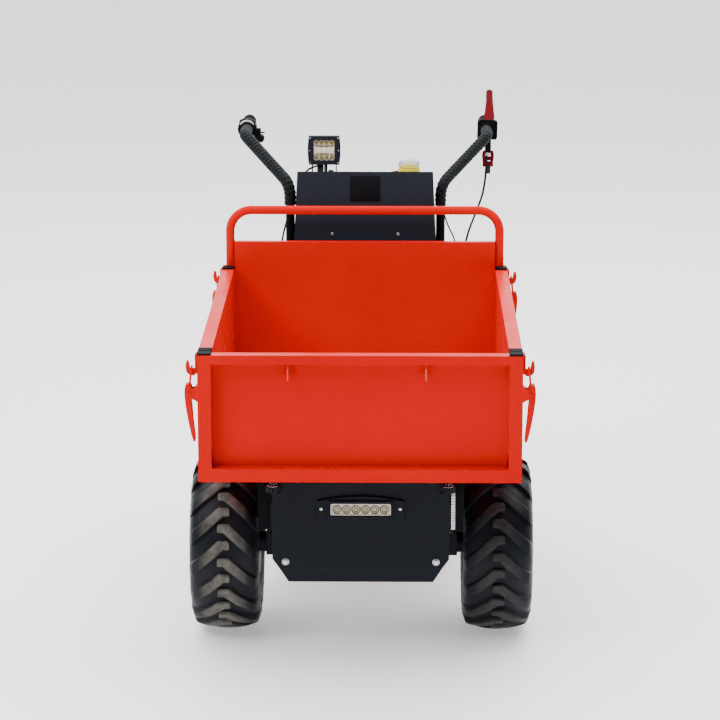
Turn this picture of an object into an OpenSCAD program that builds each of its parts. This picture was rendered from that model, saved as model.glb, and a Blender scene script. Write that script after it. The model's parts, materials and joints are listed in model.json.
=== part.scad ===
// Walk-behind electric dumper: a red drop-side bed on a black two-wheel-drive
// chassis with two rear casters, a battery cabinet and two handlebars.
// The machine drives towards -Y. X is across it, Z is up, and the origin lies on
// the ground under the middle of its length. Inside the modules, y counts
// backwards from the front face of the bed, and placed() moves that to the frame.

/* [Bed] */
// Outside width of the bed
bed_w = 720; // [700:5:740]
// Outside length of the bed
bed_l = 1000; // [940:10:1005]
// Height of the front and side panels
panel_h = 290; // [240:5:320]
// Height of the panels' lower edge above the ground
bed_z = 450; // [446:1:470]
// Size of the square tube that frames each panel
tube = 30; // [26:1:34]
// Height of a panel's top rail
top_rail = 20; // [14:1:28]
// Thickness of the panel sheets
sheet = 3; // [2:0.5:4]
// Gap between two neighbouring panels
panel_gap = 1.5; // [1:0.5:3]
// Rise of the rear wall above the side panels
wall_rise = 65; // [40:5:80]
// Diameter of the hoop's tube
hoop_d = 22; // [18:1:26]
// Rise of the hoop's outside above the rear wall
hoop_rise = 90; // [70:5:120]
// Bend radius of the hoop, at the middle of its tube
hoop_bend = 54; // [40:2:70]
// Height of the black end caps
cap_h = 4; // [3:0.5:6]

/* [Hinges and latches] */
// Outside diameter of the panel hinges' knuckles
knuckle_d = 14; // [12:1:15]
// Diameter of the panel hinges' pins
hinge_pin_d = 8; // [6:0.5:9]
// Length of one knuckle
knuckle_l = 30; // [20:2:40]
// Length of a latch's lever
lever_l = 116; // [90:2:130]
// Width of a latch's lever
lever_w = 20; // [16:1:22]
// Diameter of a latch's wire link
link_d = 5; // [4:0.5:6]

/* [Wheels] */
// Outside diameter of the drive wheels, over the lugs
wheel_d = 410; // [390:2:416]
// Width of the drive tyres
tyre_w = 162; // [140:2:164]
// Distance between the middles of the drive tyres
wheel_track = 634; // [628:1:650]
// Height of the tread lugs
lug_h = 12; // [8:1:16]
// Number of lugs on each half of a drive tyre
lugs = 16; // [14:1:18]
// Diameter of the drive wheels' rims
rim_d = 203; // [190:1:208]
// Place of the drive axle behind the bed's front
axle_y = 353; // [345:1:370]
// Outside diameter of the caster wheels
caster_d = 230; // [210:2:240]
// Width of the caster tyres
caster_w = 72; // [60:2:80]
// Distance from the middle to each caster's swivel axis
caster_x = 190; // [184:1:200]
// Distance that a caster wheel trails behind its swivel axis
caster_trail = 40; // [30:1:50]
// Place of the casters' swivel axes behind the bed's front
caster_y = 1060; // [1040:5:1090]

/* [Chassis] */
// Height of the chassis rails' top
rail_top = 362; // [360:1:364]
// Height of a chassis rail
rail_h = 60; // [40:2:64]
// Width of a chassis rail
rail_w = 40; // [34:1:44]
// Distance from the middle to each rail's middle
rail_x = 195; // [190:1:198]
// Thickness of the chassis brackets
ear_t = 8; // [6:0.5:10]
// Size of the square axle beam
beam = 52; // [44:1:60]
// Place of the bed's pivot behind the bed's front
pivot_y = 152; // [150:1:156]
// Height of the bed's pivot
pivot_z = 392; // [390:1:393]
// Diameter of the bed's pivot pins
pivot_d = 20; // [16:1:24]
// Height of the bed's own rails
bed_rail_h = 50; // [44:1:52]
// Width of the bed's own rails
bed_rail_w = 30; // [24:1:34]
// Width of the front guard plate
guard_w = 404; // [360:4:408]
// Height of the guard plate's lower fold
guard_fold_z = 212; // [205:1:225]

/* [Cabinet] */
// Width of the battery cabinet
cabinet_w = 362; // [340:2:362]
// Depth of the battery cabinet
cabinet_d = 240; // [200:5:250]
// Height of the cabinet's front top edge
cabinet_top = 971; // [941:2:981]
// Width of the cabinet's front top edge
cabinet_top_w = 346; // [330:2:350]
// Slope of the operator's console in degrees
console_slope = 22; // [18:1:26]

/* [Handlebars and lamps] */
// Diameter of the handlebar tubes
bar_d = 23; // [20:1:25]
// Diameter over the handlebars' corrugated sleeves
sleeve_d = 31; // [27:1:32]
// Diameter of the grips
grip_d = 33; // [30:1:38]
// Length of the grips
grip_l = 116; // [100:2:118]
// Height of the grips
grip_z = 1025; // [1000:5:1060]
// Distance from the middle to each grip
grip_x = 318; // [300:2:330]
// Width of the work lamp
lamp_w = 84; // [76:1:90]
// Height of the work lamp
lamp_h = 74; // [68:1:80]
// Diameter of the beacon
beacon_d = 55; // [48:1:60]

/* [Hidden] */

red = [0.80, 0.12, 0.07];
black = [0.10, 0.11, 0.13];
rubber = [0.06, 0.06, 0.07];
zinc = [0.75, 0.76, 0.78];

half_w = bed_w / 2;
$fn = 48;

// running clearance of a shaft in its bore, and of a piece at rest on its seat
run_gap = 0.05;
seat_gap = 0.3;

// beads where two lengths of tube meet
bead_l = 2;
bead_h = 0.1;

// panels
inner_w = half_w - tube;
side_y0 = tube + panel_gap;
side_y1 = bed_l - tube - panel_gap;
panel_top = bed_z + panel_h;
floor_top = bed_z + tube;
wall_top = panel_top + wall_rise;

// panel hinges: a row of knuckles under the panels' lower edges
hinge_drop = 8;
knuckle_r = knuckle_d / 2;
hinge_z = bed_z - hinge_drop;
gate_hinge_y = tube + 7;
gate_hinge_z = bed_z - 4;
gate_knuckle_r = 6;
gate_pin_r = 3.5;
side_hinge_x = half_w - hinge_drop;
gate_hinge_at = [-bed_w / 3, 0, bed_w / 3];
side_hinge_at = [180, bed_l / 2, bed_l - 180];
knuckle_space = 1;

// wheels
wheel_r = wheel_d / 2;
wheel_x = wheel_track / 2;
carcass_r = wheel_r - lug_h;
rim_r = rim_d / 2;
lip_x = tyre_w / 2 - 12;
stub_r = 15;
hub_r = 32;
hub_l = 70;
caster_r = caster_d / 2;
caster_rim_r = 62;
fork_leg_t = 7;
fork_space = 6;
stem_r = 10;
caster_bolt_r = 6;

// chassis
rail_bottom = rail_top - rail_h;
pivot_eye_r = 24;
bed_eye_r = 20;
ear_space = 1;
corner_x = wheel_x - tyre_w / 2 - 8;
guard_y = 124;
guard_t = 3;
chassis_y0 = guard_y + guard_t;
rest_y = bed_l - 150;
rest_h = 14;
guard_top = 414;
guard_chamfer_z = 233;
guard_bottom_w = 332;
guard_foot_z = 172;
guard_foot_back = 20;

// lift actuator: its lower pivot on the chassis, its upper one on the bed
act_y0 = 200;
act_z0 = 290;
act_y1 = 480;
act_z1 = 420;
act_tube_l = 218;
act_tube_r = 24;
act_rod_r = 10;
act_eye_r = 19;
act_eye_bore = 13;
act_pin_r = 5.5;
act_l = norm([act_y1 - act_y0, act_z1 - act_z0]);
act_tilt = atan2(act_z1 - act_z0, act_y1 - act_y0);

// cabinet and console
cabinet_y = bed_l + 42;
cabinet_lean = 12;
cabinet_wall = 3;
cabinet_shoulder_z = 800;
console_y = cabinet_y + cabinet_lean;
cabinet_back = cabinet_y + cabinet_d;
chassis_y1 = cabinet_back + 10;
console_drop = (cabinet_back - console_y) * tan(console_slope);

// handlebars: corners of the tube's middle line, mirrored for the left one
bar_y = cabinet_y + 78;
bar_x = cabinet_w / 2 + bar_d / 2 + 1;
bar_bend_z = 925;
bar_bend_y = bar_y + 180;
throttle_y0 = bar_bend_y + 104;
throttle_y1 = throttle_y0 + 39;
perch_y0 = throttle_y0;
grip_y = throttle_y1 + 1;
total_l = grip_y + grip_l;
bar_points = [[bar_x, bar_y, rail_top], [bar_x, bar_y, bar_bend_z],
    [grip_x, bar_bend_y, grip_z], [grip_x, total_l - 4, grip_z]];
bar_bend = 50;
sleeve_z = 872;
sleeve_pitch = 13;

// lamps
lamp_x = -105;
lamp_y = cabinet_y + 38;
lamp_z = 1021;
beacon_x = 112;
beacon_y = cabinet_y + 56;

module placed()
{
    translate([0, -total_l / 2, 0])
        children();
}

module both_sides()
{
    children();
    mirror([1, 0, 0])
        children();
}

module box(low, high)
{
    translate(low)
        cube(high - low);
}

// a cylinder along X from x0 to x1
module rod_x(x0, x1, y, z, r)
{
    translate([x0, y, z])
        rotate([0, 90, 0])
            cylinder(h = x1 - x0, r = r);
}

// a cylinder along Y from y0 to y1
module rod_y(x, y0, y1, z, r)
{
    translate([x, y0, z])
        rotate([-90, 0, 0])
            cylinder(h = y1 - y0, r = r);
}

// an outline in Y and Z, extruded along X from x0 to x1
module slab_x(x0, x1, outline)
{
    translate([x0, 0, 0])
        rotate([90, 0, 90])
            linear_extrude(x1 - x0)
                polygon(outline);
}

// an outline in X and Z, extruded along Y from y0 to y1
module slab_y(y0, y1, outline)
{
    translate([0, y1, 0])
        rotate([90, 0, 0])
            linear_extrude(y1 - y0)
                polygon(outline);
}

function unit(v) = v / norm(v);

// a cylinder from point a to point b
module stick(a, b, r)
{
    d = b - a;
    translate(a)
        rotate([0, acos(d.z / norm(d)), atan2(d.y, d.x)])
            cylinder(h = norm(d), r = r);
}

// bend radius times this gives the length that a bend takes off each straight
function bend_cut(a, p, c) = tan(acos(unit(p - a) * unit(c - p)) / 2);

// a bend of a round tube at corner p, between the points a and c
module elbow(a, p, c, bend, r)
{
    u = unit(p - a);
    v = unit(c - p);
    turn = acos(u * v);
    m = unit(v - u * (u * v));
    n = cross(u, m);
    o = p - u * bend * tan(turn / 2) + m * bend;
    multmatrix([[-m.x, u.x, n.x, o.x], [-m.y, u.y, n.y, o.y], [-m.z, u.z, n.z, o.z], [0, 0, 0, 1]])
        rotate_extrude(angle = turn)
            translate([bend, 0])
                circle(r);
}

// a round tube's outside along corner points, with a bend at each inner one
module bent_bar(points, bend, r)
{
    last = len(points) - 1;
    for (i = [1 : last - 1])
        elbow(points[i - 1], points[i], points[i + 1], bend, r);
    for (i = [0 : last - 1]) {
        u = unit(points[i + 1] - points[i]);
        cut0 = i == 0 ? 0 : bend * bend_cut(points[i - 1], points[i], points[i + 1]);
        cut1 = i == last - 1 ? 0 : bend * bend_cut(points[i], points[i + 1], points[i + 2]);
        stick(points[i] + u * cut0, points[i + 1] - u * cut1, r);
        // weld beads where the straights meet the bends
        if (i > 0)
            stick(points[i] + u * (cut0 - bead_l), points[i] + u * (cut0 + bead_l), r + bead_h);
        if (i < last - 1)
            stick(points[i + 1] - u * (cut1 + bead_l), points[i + 1] - u * (cut1 - bead_l), r + bead_h);
    }
}

// ---------------------------------------------------------------- cables

// a smooth curve through points, with n steps between two of them
function curve_at(p, i, t) =
    let (a = p[max(i - 1, 0)], b = p[i], c = p[i + 1], d = p[min(i + 2, len(p) - 1)])
    0.5 * (2 * b + (c - a) * t + (2 * a - 5 * b + 4 * c - d) * t * t
        + (3 * b - a - 3 * c + d) * t * t * t);
function smooth(p, n) = concat(
    [for (i = [0 : len(p) - 2]) for (k = [0 : n - 1]) curve_at(p, i, k / n)], [p[len(p) - 1]]);

// a tube swept along points; ref is a direction that the route never takes
module cable(points, d, ref, steps = 3, sides = 8)
{
    p = smooth(points, steps);
    last = len(p) - 1;
    rings = [for (i = [0 : last])
        let (t = unit(p[min(i + 1, last)] - p[max(i - 1, 0)]),
            a = unit(cross(t, ref)), b = cross(t, a))
        for (k = [0 : sides - 1])
            p[i] + d / 2 * (cos(360 * k / sides) * a + sin(360 * k / sides) * b)];
    walls = [for (i = [0 : last - 1]) for (k = [0 : sides - 1])
        let (n = (k + 1) % sides)
        [i * sides + k, (i + 1) * sides + k, (i + 1) * sides + n, i * sides + n]];
    ends = [[for (k = [0 : sides - 1]) k],
        [for (k = [sides - 1 : -1 : 0]) last * sides + k]];
    polyhedron(points = rings, faces = concat(walls, ends));
}

// the cables' points were chosen with the cabinet at this place, and follow it
drawn_cabinet_y = 1042;
function follow(route, from = 0, to = 1) = [for (p = route)
    p + [0, (cabinet_y - drawn_cabinet_y) * max(0, min(1, (p.y - from) / (to - from))), 0]];

brake_route = [[324, 1415, 905], [322, 1411, 885], [315, 1395, 858], [298, 1350, 829],
    [264, 1250, 757], [246, 1180, 650], [236, 1130, 530], [230, 1080, 420], [227, 1010, 345],
    [226, 900, 318], [226, 760, 310], [226, 620, 302], [227, 510, 282], [228, 450, 261],
    [229, 414, 241], [233, 404, 235.5], [240.6, 403.6, 235]];
left_route = [[-196, 1134.8, 871], [-197.5, 1135, 850], [-203, 1132, 830], [-209, 1127, 808],
    [-214, 1122, 785], [-222, 1117, 735], [-225, 1116, 640], [-223, 1118, 560],
    [-219, 1122, 480], [-212, 1132, 415], [-208, 1138, 385], [-208, 1138, 362.3]];
right_route = [[199, 1134.5, 871], [203, 1134, 850], [209, 1131, 830], [219, 1125, 806],
    [229, 1120, 785], [236, 1116, 735], [235, 1116, 660], [230, 1118, 570],
    [223, 1122, 480], [212, 1132, 415], [208, 1138, 385], [208, 1138, 362.3]];
lamp_route = [[-106, 1119, 990.7], [-107, 1119, 984], [-120, 1119, 976], [-138, 1118, 970],
    [-151, 1117, 961], [-152, 1117, 946.8]];

module cable_brake()
{
    placed() color(rubber)
        cable(follow(brake_route, 450, 1130), 6, [1, 0, 0]);
}

module cable_left()
{
    placed() color(rubber)
        cable(follow(left_route), 5, [0, 1, 0]);
}

module cable_right()
{
    placed() color(rubber)
        cable(follow(right_route), 4, [0, 1, 0]);
}

module cable_lamp()
{
    placed() color(rubber)
        cable(follow(lamp_route), 5, [0, 1, 0]);
}

// ---------------------------------------------------------------- chassis

// cross members between the rails: place, depth, lower and upper height
cross_members = [[chassis_y0, 30, rail_bottom, rail_top], [560, 40, rail_bottom + 10, rail_top],
    [cabinet_y, 40, rail_bottom, rail_top], [chassis_y1 - 40, 40, rail_bottom, rail_top]];

cross_x = rail_x - rail_w / 2;

module pivot_ear(x)
{
    difference() {
        union() {
            rod_x(x - ear_t / 2, x + ear_t / 2, pivot_y, pivot_z, pivot_eye_r);
            box([x - ear_t / 2, pivot_y - pivot_eye_r, rail_top - 1],
                [x + ear_t / 2, pivot_y + pivot_eye_r, pivot_z]);
        }
        box([x - ear_t, pivot_y - 2 * pivot_eye_r, rail_top - 2],
            [x + ear_t, pivot_y + 2 * pivot_eye_r, rail_top]);
    }
}

// front corner of the frame, which stands out beside the rail and its guard
module front_corner()
{
    box([cross_x + 1, chassis_y0, rail_bottom], [corner_x, pivot_y + pivot_eye_r, rail_bottom + 8]);
    box([rail_x + rail_w / 2 - 1, chassis_y0, rail_bottom], [corner_x, pivot_y + pivot_eye_r, rail_top]);
    box([rail_x + bed_rail_w / 2 + ear_space + ear_t - 1, chassis_y0 + 2, rail_top - 1],
        [corner_x, pivot_y - 12, pivot_z + 8]);
}

module pivot_pin()
{
    reach = bed_rail_w / 2 + ear_space + ear_t + 5;
    rod_x(rail_x - reach, rail_x + reach, pivot_y, pivot_z, pivot_d / 2);
}

module caster_head()
{
    plate_t = 8;
    difference() {
        union() {
            box([caster_x - 45, caster_y - 50, rail_bottom - plate_t],
                [caster_x + 45, caster_y + 50, rail_bottom]);
            translate([caster_x, caster_y, rail_bottom - plate_t - 10])
                cylinder(h = 11, r = 34);
        }
        translate([caster_x, caster_y, rail_bottom - plate_t - 11])
            cylinder(h = 30, r = stem_r + run_gap);
    }
}

module rail()
{
    difference() {
        box([rail_x - rail_w / 2, chassis_y0, rail_bottom], [rail_x + rail_w / 2, chassis_y1, rail_top]);
        translate([caster_x, caster_y, rail_bottom - 1])
            cylinder(h = 31, r = stem_r + 2);
    }
}

module bar_socket()
{
    difference() {
        translate([bar_x, bar_y, rail_top])
            cylinder(h = 40, r = bar_d / 2 + 4);
        translate([bar_x, bar_y, rail_top - 1])
            cylinder(h = 42, r = bar_d / 2 + 0.2);
        box([cabinet_w / 2 - 20, bar_y - 40, rail_top - 1],
            [cabinet_w / 2 + seat_gap, bar_y + 40, rail_top + 41]);
    }
}

axle_z = wheel_r;
bracket_x = rail_x + rail_w / 2;

module axle_bracket()
{
    slab_x(bracket_x, bracket_x + ear_t, [[axle_y - beam / 2 - 10, axle_z + beam / 2],
        [axle_y + beam / 2 + 10, axle_z + beam / 2], [axle_y + 60, rail_top],
        [axle_y - 60, rail_top]]);
}

module actuator_ears()
{
    ear_x = 16;
    both_sides()
        difference() {
            slab_x(ear_x, ear_x + ear_t, [[chassis_y0 + 28, rail_top - 30],
                [act_y0 + 10, act_z0 + 14], [act_y0 + 16, act_z0 + 6], [act_y0 + 16, act_z0 - 12],
                [act_y0 + 8, act_z0 - 17], [act_y0 - 12, act_z0 - 17],
                [chassis_y0 + 28, rail_bottom]]);
            rod_x(ear_x - 1, ear_x + ear_t + 1, act_y0, act_z0, 6 + run_gap);
        }
}

module rest_post()
{
    translate([rail_x, rest_y, rail_top])
        cylinder(h = rest_h, r = 14);
}

module chassis_frame()
{
    placed() color(black) {
        both_sides() {
            rail();
            pivot_ear(rail_x - bed_rail_w / 2 - ear_space - ear_t / 2);
            pivot_ear(rail_x + bed_rail_w / 2 + ear_space + ear_t / 2);
            front_corner();
            pivot_pin();
            caster_head();
            bar_socket();
            axle_bracket();
            rest_post();
        }
        for (m = cross_members)
            box([-cross_x, m[0], m[2]], [cross_x, m[0] + m[1], m[3]]);
        actuator_ears();
    }
}

// ---------------------------------------------------------------- axle and motor

module axle_beam()
{
    drum_x = bracket_x + ear_t + 2;
    placed() color(black) {
        box([-drum_x, axle_y - beam / 2, axle_z - beam / 2],
            [drum_x, axle_y + beam / 2, axle_z + beam / 2]);
        translate([0, axle_y, axle_z])
            rotate([0, 90, 0])
                rotate_extrude()
                    polygon([[0, -90], [38, -90], [78, -36], [82, -20], [82, 20], [78, 36],
                        [38, 90], [0, 90]]);
        rod_y(0, axle_y + 40, axle_y + 92, axle_z + 6, 46);
        both_sides() {
            rod_x(drum_x - 1, drum_x + 17, axle_y, axle_z, 25);
            rod_x(drum_x + 16, drum_x + 34, axle_y, axle_z, 76);
            rod_x(drum_x + 33, wheel_x + hub_l / 2 - 8, axle_y, axle_z, stub_r);
        }
    }
}

module drive_motor()
{
    motor_r = 62;
    placed() color(black) {
        rod_y(0, axle_y + 92, axle_y + 120, axle_z + 6, 40);
        difference() {
            rod_y(0, axle_y + 120, axle_y + 300, axle_z + 6, motor_r);
            for (a = [0 : 20 : 340])
                translate([0, axle_y + 140, axle_z + 6])
                    rotate([0, a, 0])
                        translate([motor_r - 4, 0, -2])
                            cube([8, 110, 4]);
        }
    }
}

// ---------------------------------------------------------------- front guard

light_z = 354;
light_hole = [150, 42];

module guard_outline()
{
    polygon([[-guard_w / 2, guard_top], [-guard_w / 2, guard_chamfer_z],
        [-guard_w / 2 + 15, guard_fold_z], [guard_w / 2 - 15, guard_fold_z],
        [guard_w / 2, guard_chamfer_z], [guard_w / 2, guard_top]]);
}

module guard_plate()
{
    foot_y = guard_y + guard_foot_back;
    placed() color(black) {
        difference() {
            translate([0, guard_y + guard_t, 0])
                rotate([90, 0, 0])
                    linear_extrude(guard_t)
                        guard_outline();
            box([-light_hole.x / 2, guard_y - 1, light_z - light_hole.y / 2],
                [light_hole.x / 2, guard_y + guard_t + 1, light_z + light_hole.y / 2]);
        }
        // the foot strip, folded back under the chassis
        intersection() {
            slab_x(-guard_w, guard_w, [[guard_y, guard_fold_z], [foot_y, guard_foot_z],
                [foot_y + guard_t, guard_foot_z], [guard_y + guard_t, guard_fold_z]]);
            slab_y(guard_y - 1, foot_y + guard_t + 1, [[-guard_w / 2 + 15, guard_fold_z],
                [-guard_bottom_w / 2, guard_foot_z], [guard_bottom_w / 2, guard_foot_z],
                [guard_w / 2 - 15, guard_fold_z]]);
        }
        // tabs that carry the front buffers
        both_sides()
            box([buffer_x - 16, guard_y - 2 * buffer_r, buffer_z - 5], [buffer_x + 3, guard_y, buffer_z]);
    }
}

buffer_x = guard_w / 2 - 4;
buffer_y = guard_y - 20;
buffer_z = guard_top - 15;
buffer_r = 17;

module buffers()
{
    placed() color(rubber)
        both_sides() {
            translate([buffer_x, buffer_y, buffer_z])
                difference() {
                    cylinder(h = 13, r = buffer_r);
                    for (a = [0 : 30 : 330])
                        rotate([0, 0, a])
                            translate([buffer_r, 0, -1])
                                cylinder(h = 15, r = 2);
                }
            translate([buffer_x, buffer_y, buffer_z + 13]) {
                cylinder(h = 2.5, r = 12);
                cylinder(h = 9, r = 8, $fn = 6);
                cylinder(h = 13, r = 5);
            }
            translate([rail_x, rest_y, rail_top + rest_h])
                cylinder(h = bed_z - bed_rail_h - rail_top - rest_h - seat_gap, r1 = 22, r2 = 17);
        }
}

module light_bar()
{
    flange_w = 198;
    flange_y = guard_y - 8;
    placed() color(black)
        difference() {
            union() {
                // flange with an arched top and rounded ends
                intersection() {
                    box([-flange_w / 2, flange_y, light_z - 30], [flange_w / 2, guard_y, light_z + 30]);
                    rod_y(0, flange_y - 1, guard_y + 1, light_z + 30 - 420, 420);
                    rod_y(0, flange_y - 1, guard_y + 1, light_z, 103);
                }
                box([1 - light_hole.x / 2, flange_y - 6, light_z + 1 - light_hole.y / 2],
                    [light_hole.x / 2 - 1, guard_y + guard_t, light_z - 1 + light_hole.y / 2]);
            }
            box([-70, flange_y - 7, light_z - 15], [70, guard_y - 2, light_z + 15]);
            both_sides()
                rod_y(90, flange_y - 1, flange_y + 3, light_z, 4.5);
        }
}

module light_bar_lens()
{
    lens_y = guard_y - 12;
    placed() color(zinc) {
        difference() {
            box([-69, lens_y, light_z - 14], [69, guard_y - 2, light_z + 14]);
            for (i = [-2.5 : 2.5])
                translate([i * 22, lens_y - 0.1, light_z])
                    rotate([-90, 0, 0])
                        cylinder(h = 8, r1 = 10.5, r2 = 4);
        }
    }
}

// notched strips on the front corners of the frame
module corner_strips()
{
    strip_w = 9;
    strip_x = guard_w / 2 + 4 + strip_w / 2;
    strip_y = chassis_y0 - 4;
    placed() color(zinc)
        both_sides()
            difference() {
                box([strip_x - strip_w / 2, strip_y, rail_bottom + 2],
                    [strip_x + strip_w / 2, chassis_y0, rail_top]);
                for (z = [rail_bottom + 12 : 14 : rail_top - 6])
                    box([strip_x - strip_w, strip_y - 1, z], [strip_x + strip_w, strip_y + 1, z + 2]);
            }
}

// ---------------------------------------------------------------- cabinet

module cabinet_body(inset)
{
    w0 = cabinet_w / 2 - inset;
    w1 = cabinet_top_w / 2 - inset;
    top = cabinet_top - inset;
    intersection() {
        slab_x(-cabinet_w, cabinet_w, [[cabinet_y + inset, rail_top + inset],
            [cabinet_back - inset, rail_top + inset], [cabinet_back - inset, top - console_drop],
            [console_y + inset, top], [cabinet_y + inset, cabinet_shoulder_z]]);
        slab_y(cabinet_y - 10, cabinet_back + 10, [[-w0, rail_top], [w0, rail_top],
            [w0, cabinet_shoulder_z], [w1, cabinet_top], [-w1, cabinet_top], [-w0, cabinet_shoulder_z]]);
    }
}

module cabinet()
{
    placed() color(black) {
        difference() {
            cabinet_body(0);
            cabinet_body(cabinet_wall);
        }
        // louvres of the service cover on the operator's side
        for (i = [0 : 5])
            box([-70, cabinet_back, 470 + 24 * i], [70, cabinet_back + 5, 478 + 24 * i]);
    }
}

module battery_block()
{
    placed() color([0.3, 0.3, 0.32])
        box([31 - cabinet_w / 2, cabinet_y + 15, rail_top + cabinet_wall],
            [cabinet_w / 2 - 31, cabinet_back - 15, rail_top + 230]);
}

// moves to the console's sloped face: x across, y down the slope, z out of it
module on_console(x, along)
{
    translate([x, console_y, cabinet_top])
        rotate([-console_slope, 0, 0])
            translate([0, along, run_gap])
                children();
}

module console()
{
    placed() color([0.16, 0.17, 0.19]) {
        on_console(0, 82)
            translate([33 - cabinet_top_w / 2, 0, 0])
                cube([cabinet_top_w - 66, 143, 4]);
        // charge gauge, key switch, stop button and tipping switch
        on_console(-30, 150)
            cylinder(h = 12, r = 27);
        on_console(-90, 150)
            cylinder(h = 14, r = 12);
        on_console(85, 165)
            cylinder(h = 12, r = 21);
        on_console(85, 165)
            cylinder(h = 26, r = 9);
        on_console(85, 165)
            translate([0, 0, 24])
                cylinder(h = 11, r1 = 19, r2 = 17);
        on_console(32, 150)
            translate([-9, -15, 0])
                cube([18, 30, 11]);
        // cable glands behind the front edge
        for (g = [[-119, 40, 28], [-111, 40, 32], [-101, 40, 26]])
            on_console(g[0], g[1])
                cylinder(h = g[2], r = 4.5);
    }
}

// ---------------------------------------------------------------- lamps

module work_lamp()
{
    bulge = 3;
    side_r = (lamp_h * lamp_h / 4 + bulge * bulge) / (2 * bulge);
    leg_x = 30.5;
    placed() color(black)
        translate([lamp_x, lamp_y, lamp_z]) {
            difference() {
                union() {
                    // flange with bulged sides
                    intersection() {
                        box([-lamp_w / 2, 0, -lamp_h / 2], [lamp_w / 2, 12, lamp_h / 2]);
                        rod_y(lamp_w / 2 - side_r, -1, 13, 0, side_r);
                        rod_y(side_r - lamp_w / 2, -1, 13, 0, side_r);
                    }
                    box([-29, 11, -30], [29, 30, 30]);
                    for (i = [-4 : 4])
                        box([-29, 29, i * 7 - 1.5], [29, 50, i * 7 + 1.5]);
                    box([-6, 29, -30], [6, 48, 30]);
                }
                box([-27, -1, -27], [27, 9, 27]);
            }
            both_sides()
                rod_x(leg_x - 2, leg_x + 7, 26, 0, 6);
            // stirrup that carries the lamp, on a foot that lies on the console
            difference() {
                union() {
                    both_sides()
                        box([leg_x - 1.5, 18, -82], [leg_x + 1.5, 34, 8]);
                    translate([-lamp_x, -lamp_y, -lamp_z])
                        on_console(lamp_x, (lamp_y + 18 - console_y) / cos(console_slope))
                            translate([-leg_x, 0, -1])
                                cube([2 * leg_x, 15, 4]);
                }
                translate([-lamp_x, -lamp_y, -lamp_z])
                    cabinet_body(0);
            }
        }
}

module work_lamp_lens()
{
    placed() color([0.9, 0.9, 0.8])
        translate([lamp_x, lamp_y, lamp_z])
            difference() {
                box([-26.5, 3, -26.5], [26.5, 9, 26.5]);
                for (x = [-19.5 : 13 : 19.5], z = [-18, 18])
                    translate([x, 2.9, z])
                        rotate([-90, 0, 0])
                            cylinder(h = 5, r1 = 6, r2 = 2);
            }
}

beacon_foot = 933;
beacon_seat = 965;

module beacon_base()
{
    placed() color([0.85, 0.8, 0.1]) {
        difference() {
            translate([beacon_x, beacon_y, beacon_foot])
                cylinder(h = beacon_seat - beacon_foot, r = beacon_d / 2);
            cabinet_body(0);
        }
        translate([beacon_x, beacon_y, beacon_seat - 1])
            cylinder(h = 18, r1 = 19, r2 = 15);
    }
}

module beacon_dome()
{
    r = beacon_d / 2;
    placed() color([0.85, 0.85, 0.8, 0.5])
        translate([beacon_x, beacon_y, beacon_seat])
            rotate_extrude()
                polygon([[r - 3, 0], [r, 0], [r, 25], [r - 4, 31], [0, 33], [0, 30], [r - 5, 28],
                    [r - 3, 24]]);
}

// ---------------------------------------------------------------- handlebars

module handlebars()
{
    placed() color(black)
        both_sides()
            bent_bar(bar_points, bar_bend, bar_d / 2);
}

// a corrugated length of sleeve, without its bore, standing on the origin
module ribbed(l)
{
    n = floor(l / sleeve_pitch);
    pitch = l / n;
    r = sleeve_d / 2;
    rotate_extrude()
        polygon(concat([[0, 0]],
            [for (i = [0 : n - 1]) each [[r - 1.5, i * pitch], [r, i * pitch + 2],
                [r, i * pitch + pitch - 2], [r - 1.5, (i + 1) * pitch]]],
            [[0, l]]));
}

module sleeve()
{
    p = bar_points;
    r = sleeve_d / 2;
    cut1 = bar_bend * bend_cut(p[0], p[1], p[2]);
    cut2 = bar_bend * bend_cut(p[1], p[2], p[3]);
    d = unit(p[2] - p[1]);
    slant_l = norm(p[2] - p[1]) - cut1 - cut2;
    difference() {
        union() {
            translate([bar_x, bar_y, sleeve_z])
                ribbed(bar_bend_z - cut1 - sleeve_z);
            translate(p[1] + d * cut1)
                rotate([0, acos(d.z), atan2(d.y, d.x)])
                    ribbed(slant_l);
            elbow(p[0], p[1], p[2], bar_bend, r);
            elbow(p[1], p[2], p[3], bar_bend, r);
            translate([bar_x, bar_y, bar_bend_z - cut1 - bead_l])
                cylinder(h = 2 * bead_l, r = r + bead_h);
            stick(p[1] + d * (cut1 - bead_l), p[1] + d * (cut1 + bead_l), r + bead_h);
            stick(p[2] - d * (cut2 + bead_l), p[2] - d * (cut2 - bead_l), r + bead_h);
        }
        bent_bar(p, bar_bend, bar_d / 2 + 0.2);
    }
}

module sleeves()
{
    placed() color(rubber)
        both_sides()
            sleeve();
}

module grip(l)
{
    r = grip_d / 2;
    translate([0, grip_y, 0])
        rotate([-90, 0, 0])
            difference() {
                union() {
                    cylinder(h = 4, r = r + 4);
                    cylinder(h = l, r = r);
                    for (i = [1 : 8])
                        translate([0, 0, i * (l - 12) / 8])
                            cylinder(h = 3, r = r + 1.2);
                }
                translate([0, 0, -1])
                    cylinder(h = l - 3 + seat_gap, r = bar_d / 2 + 0.2);
            }
}

module grips()
{
    placed() color(rubber)
        both_sides()
            translate([grip_x, 0, grip_z])
                grip(grip_l);
}

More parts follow.
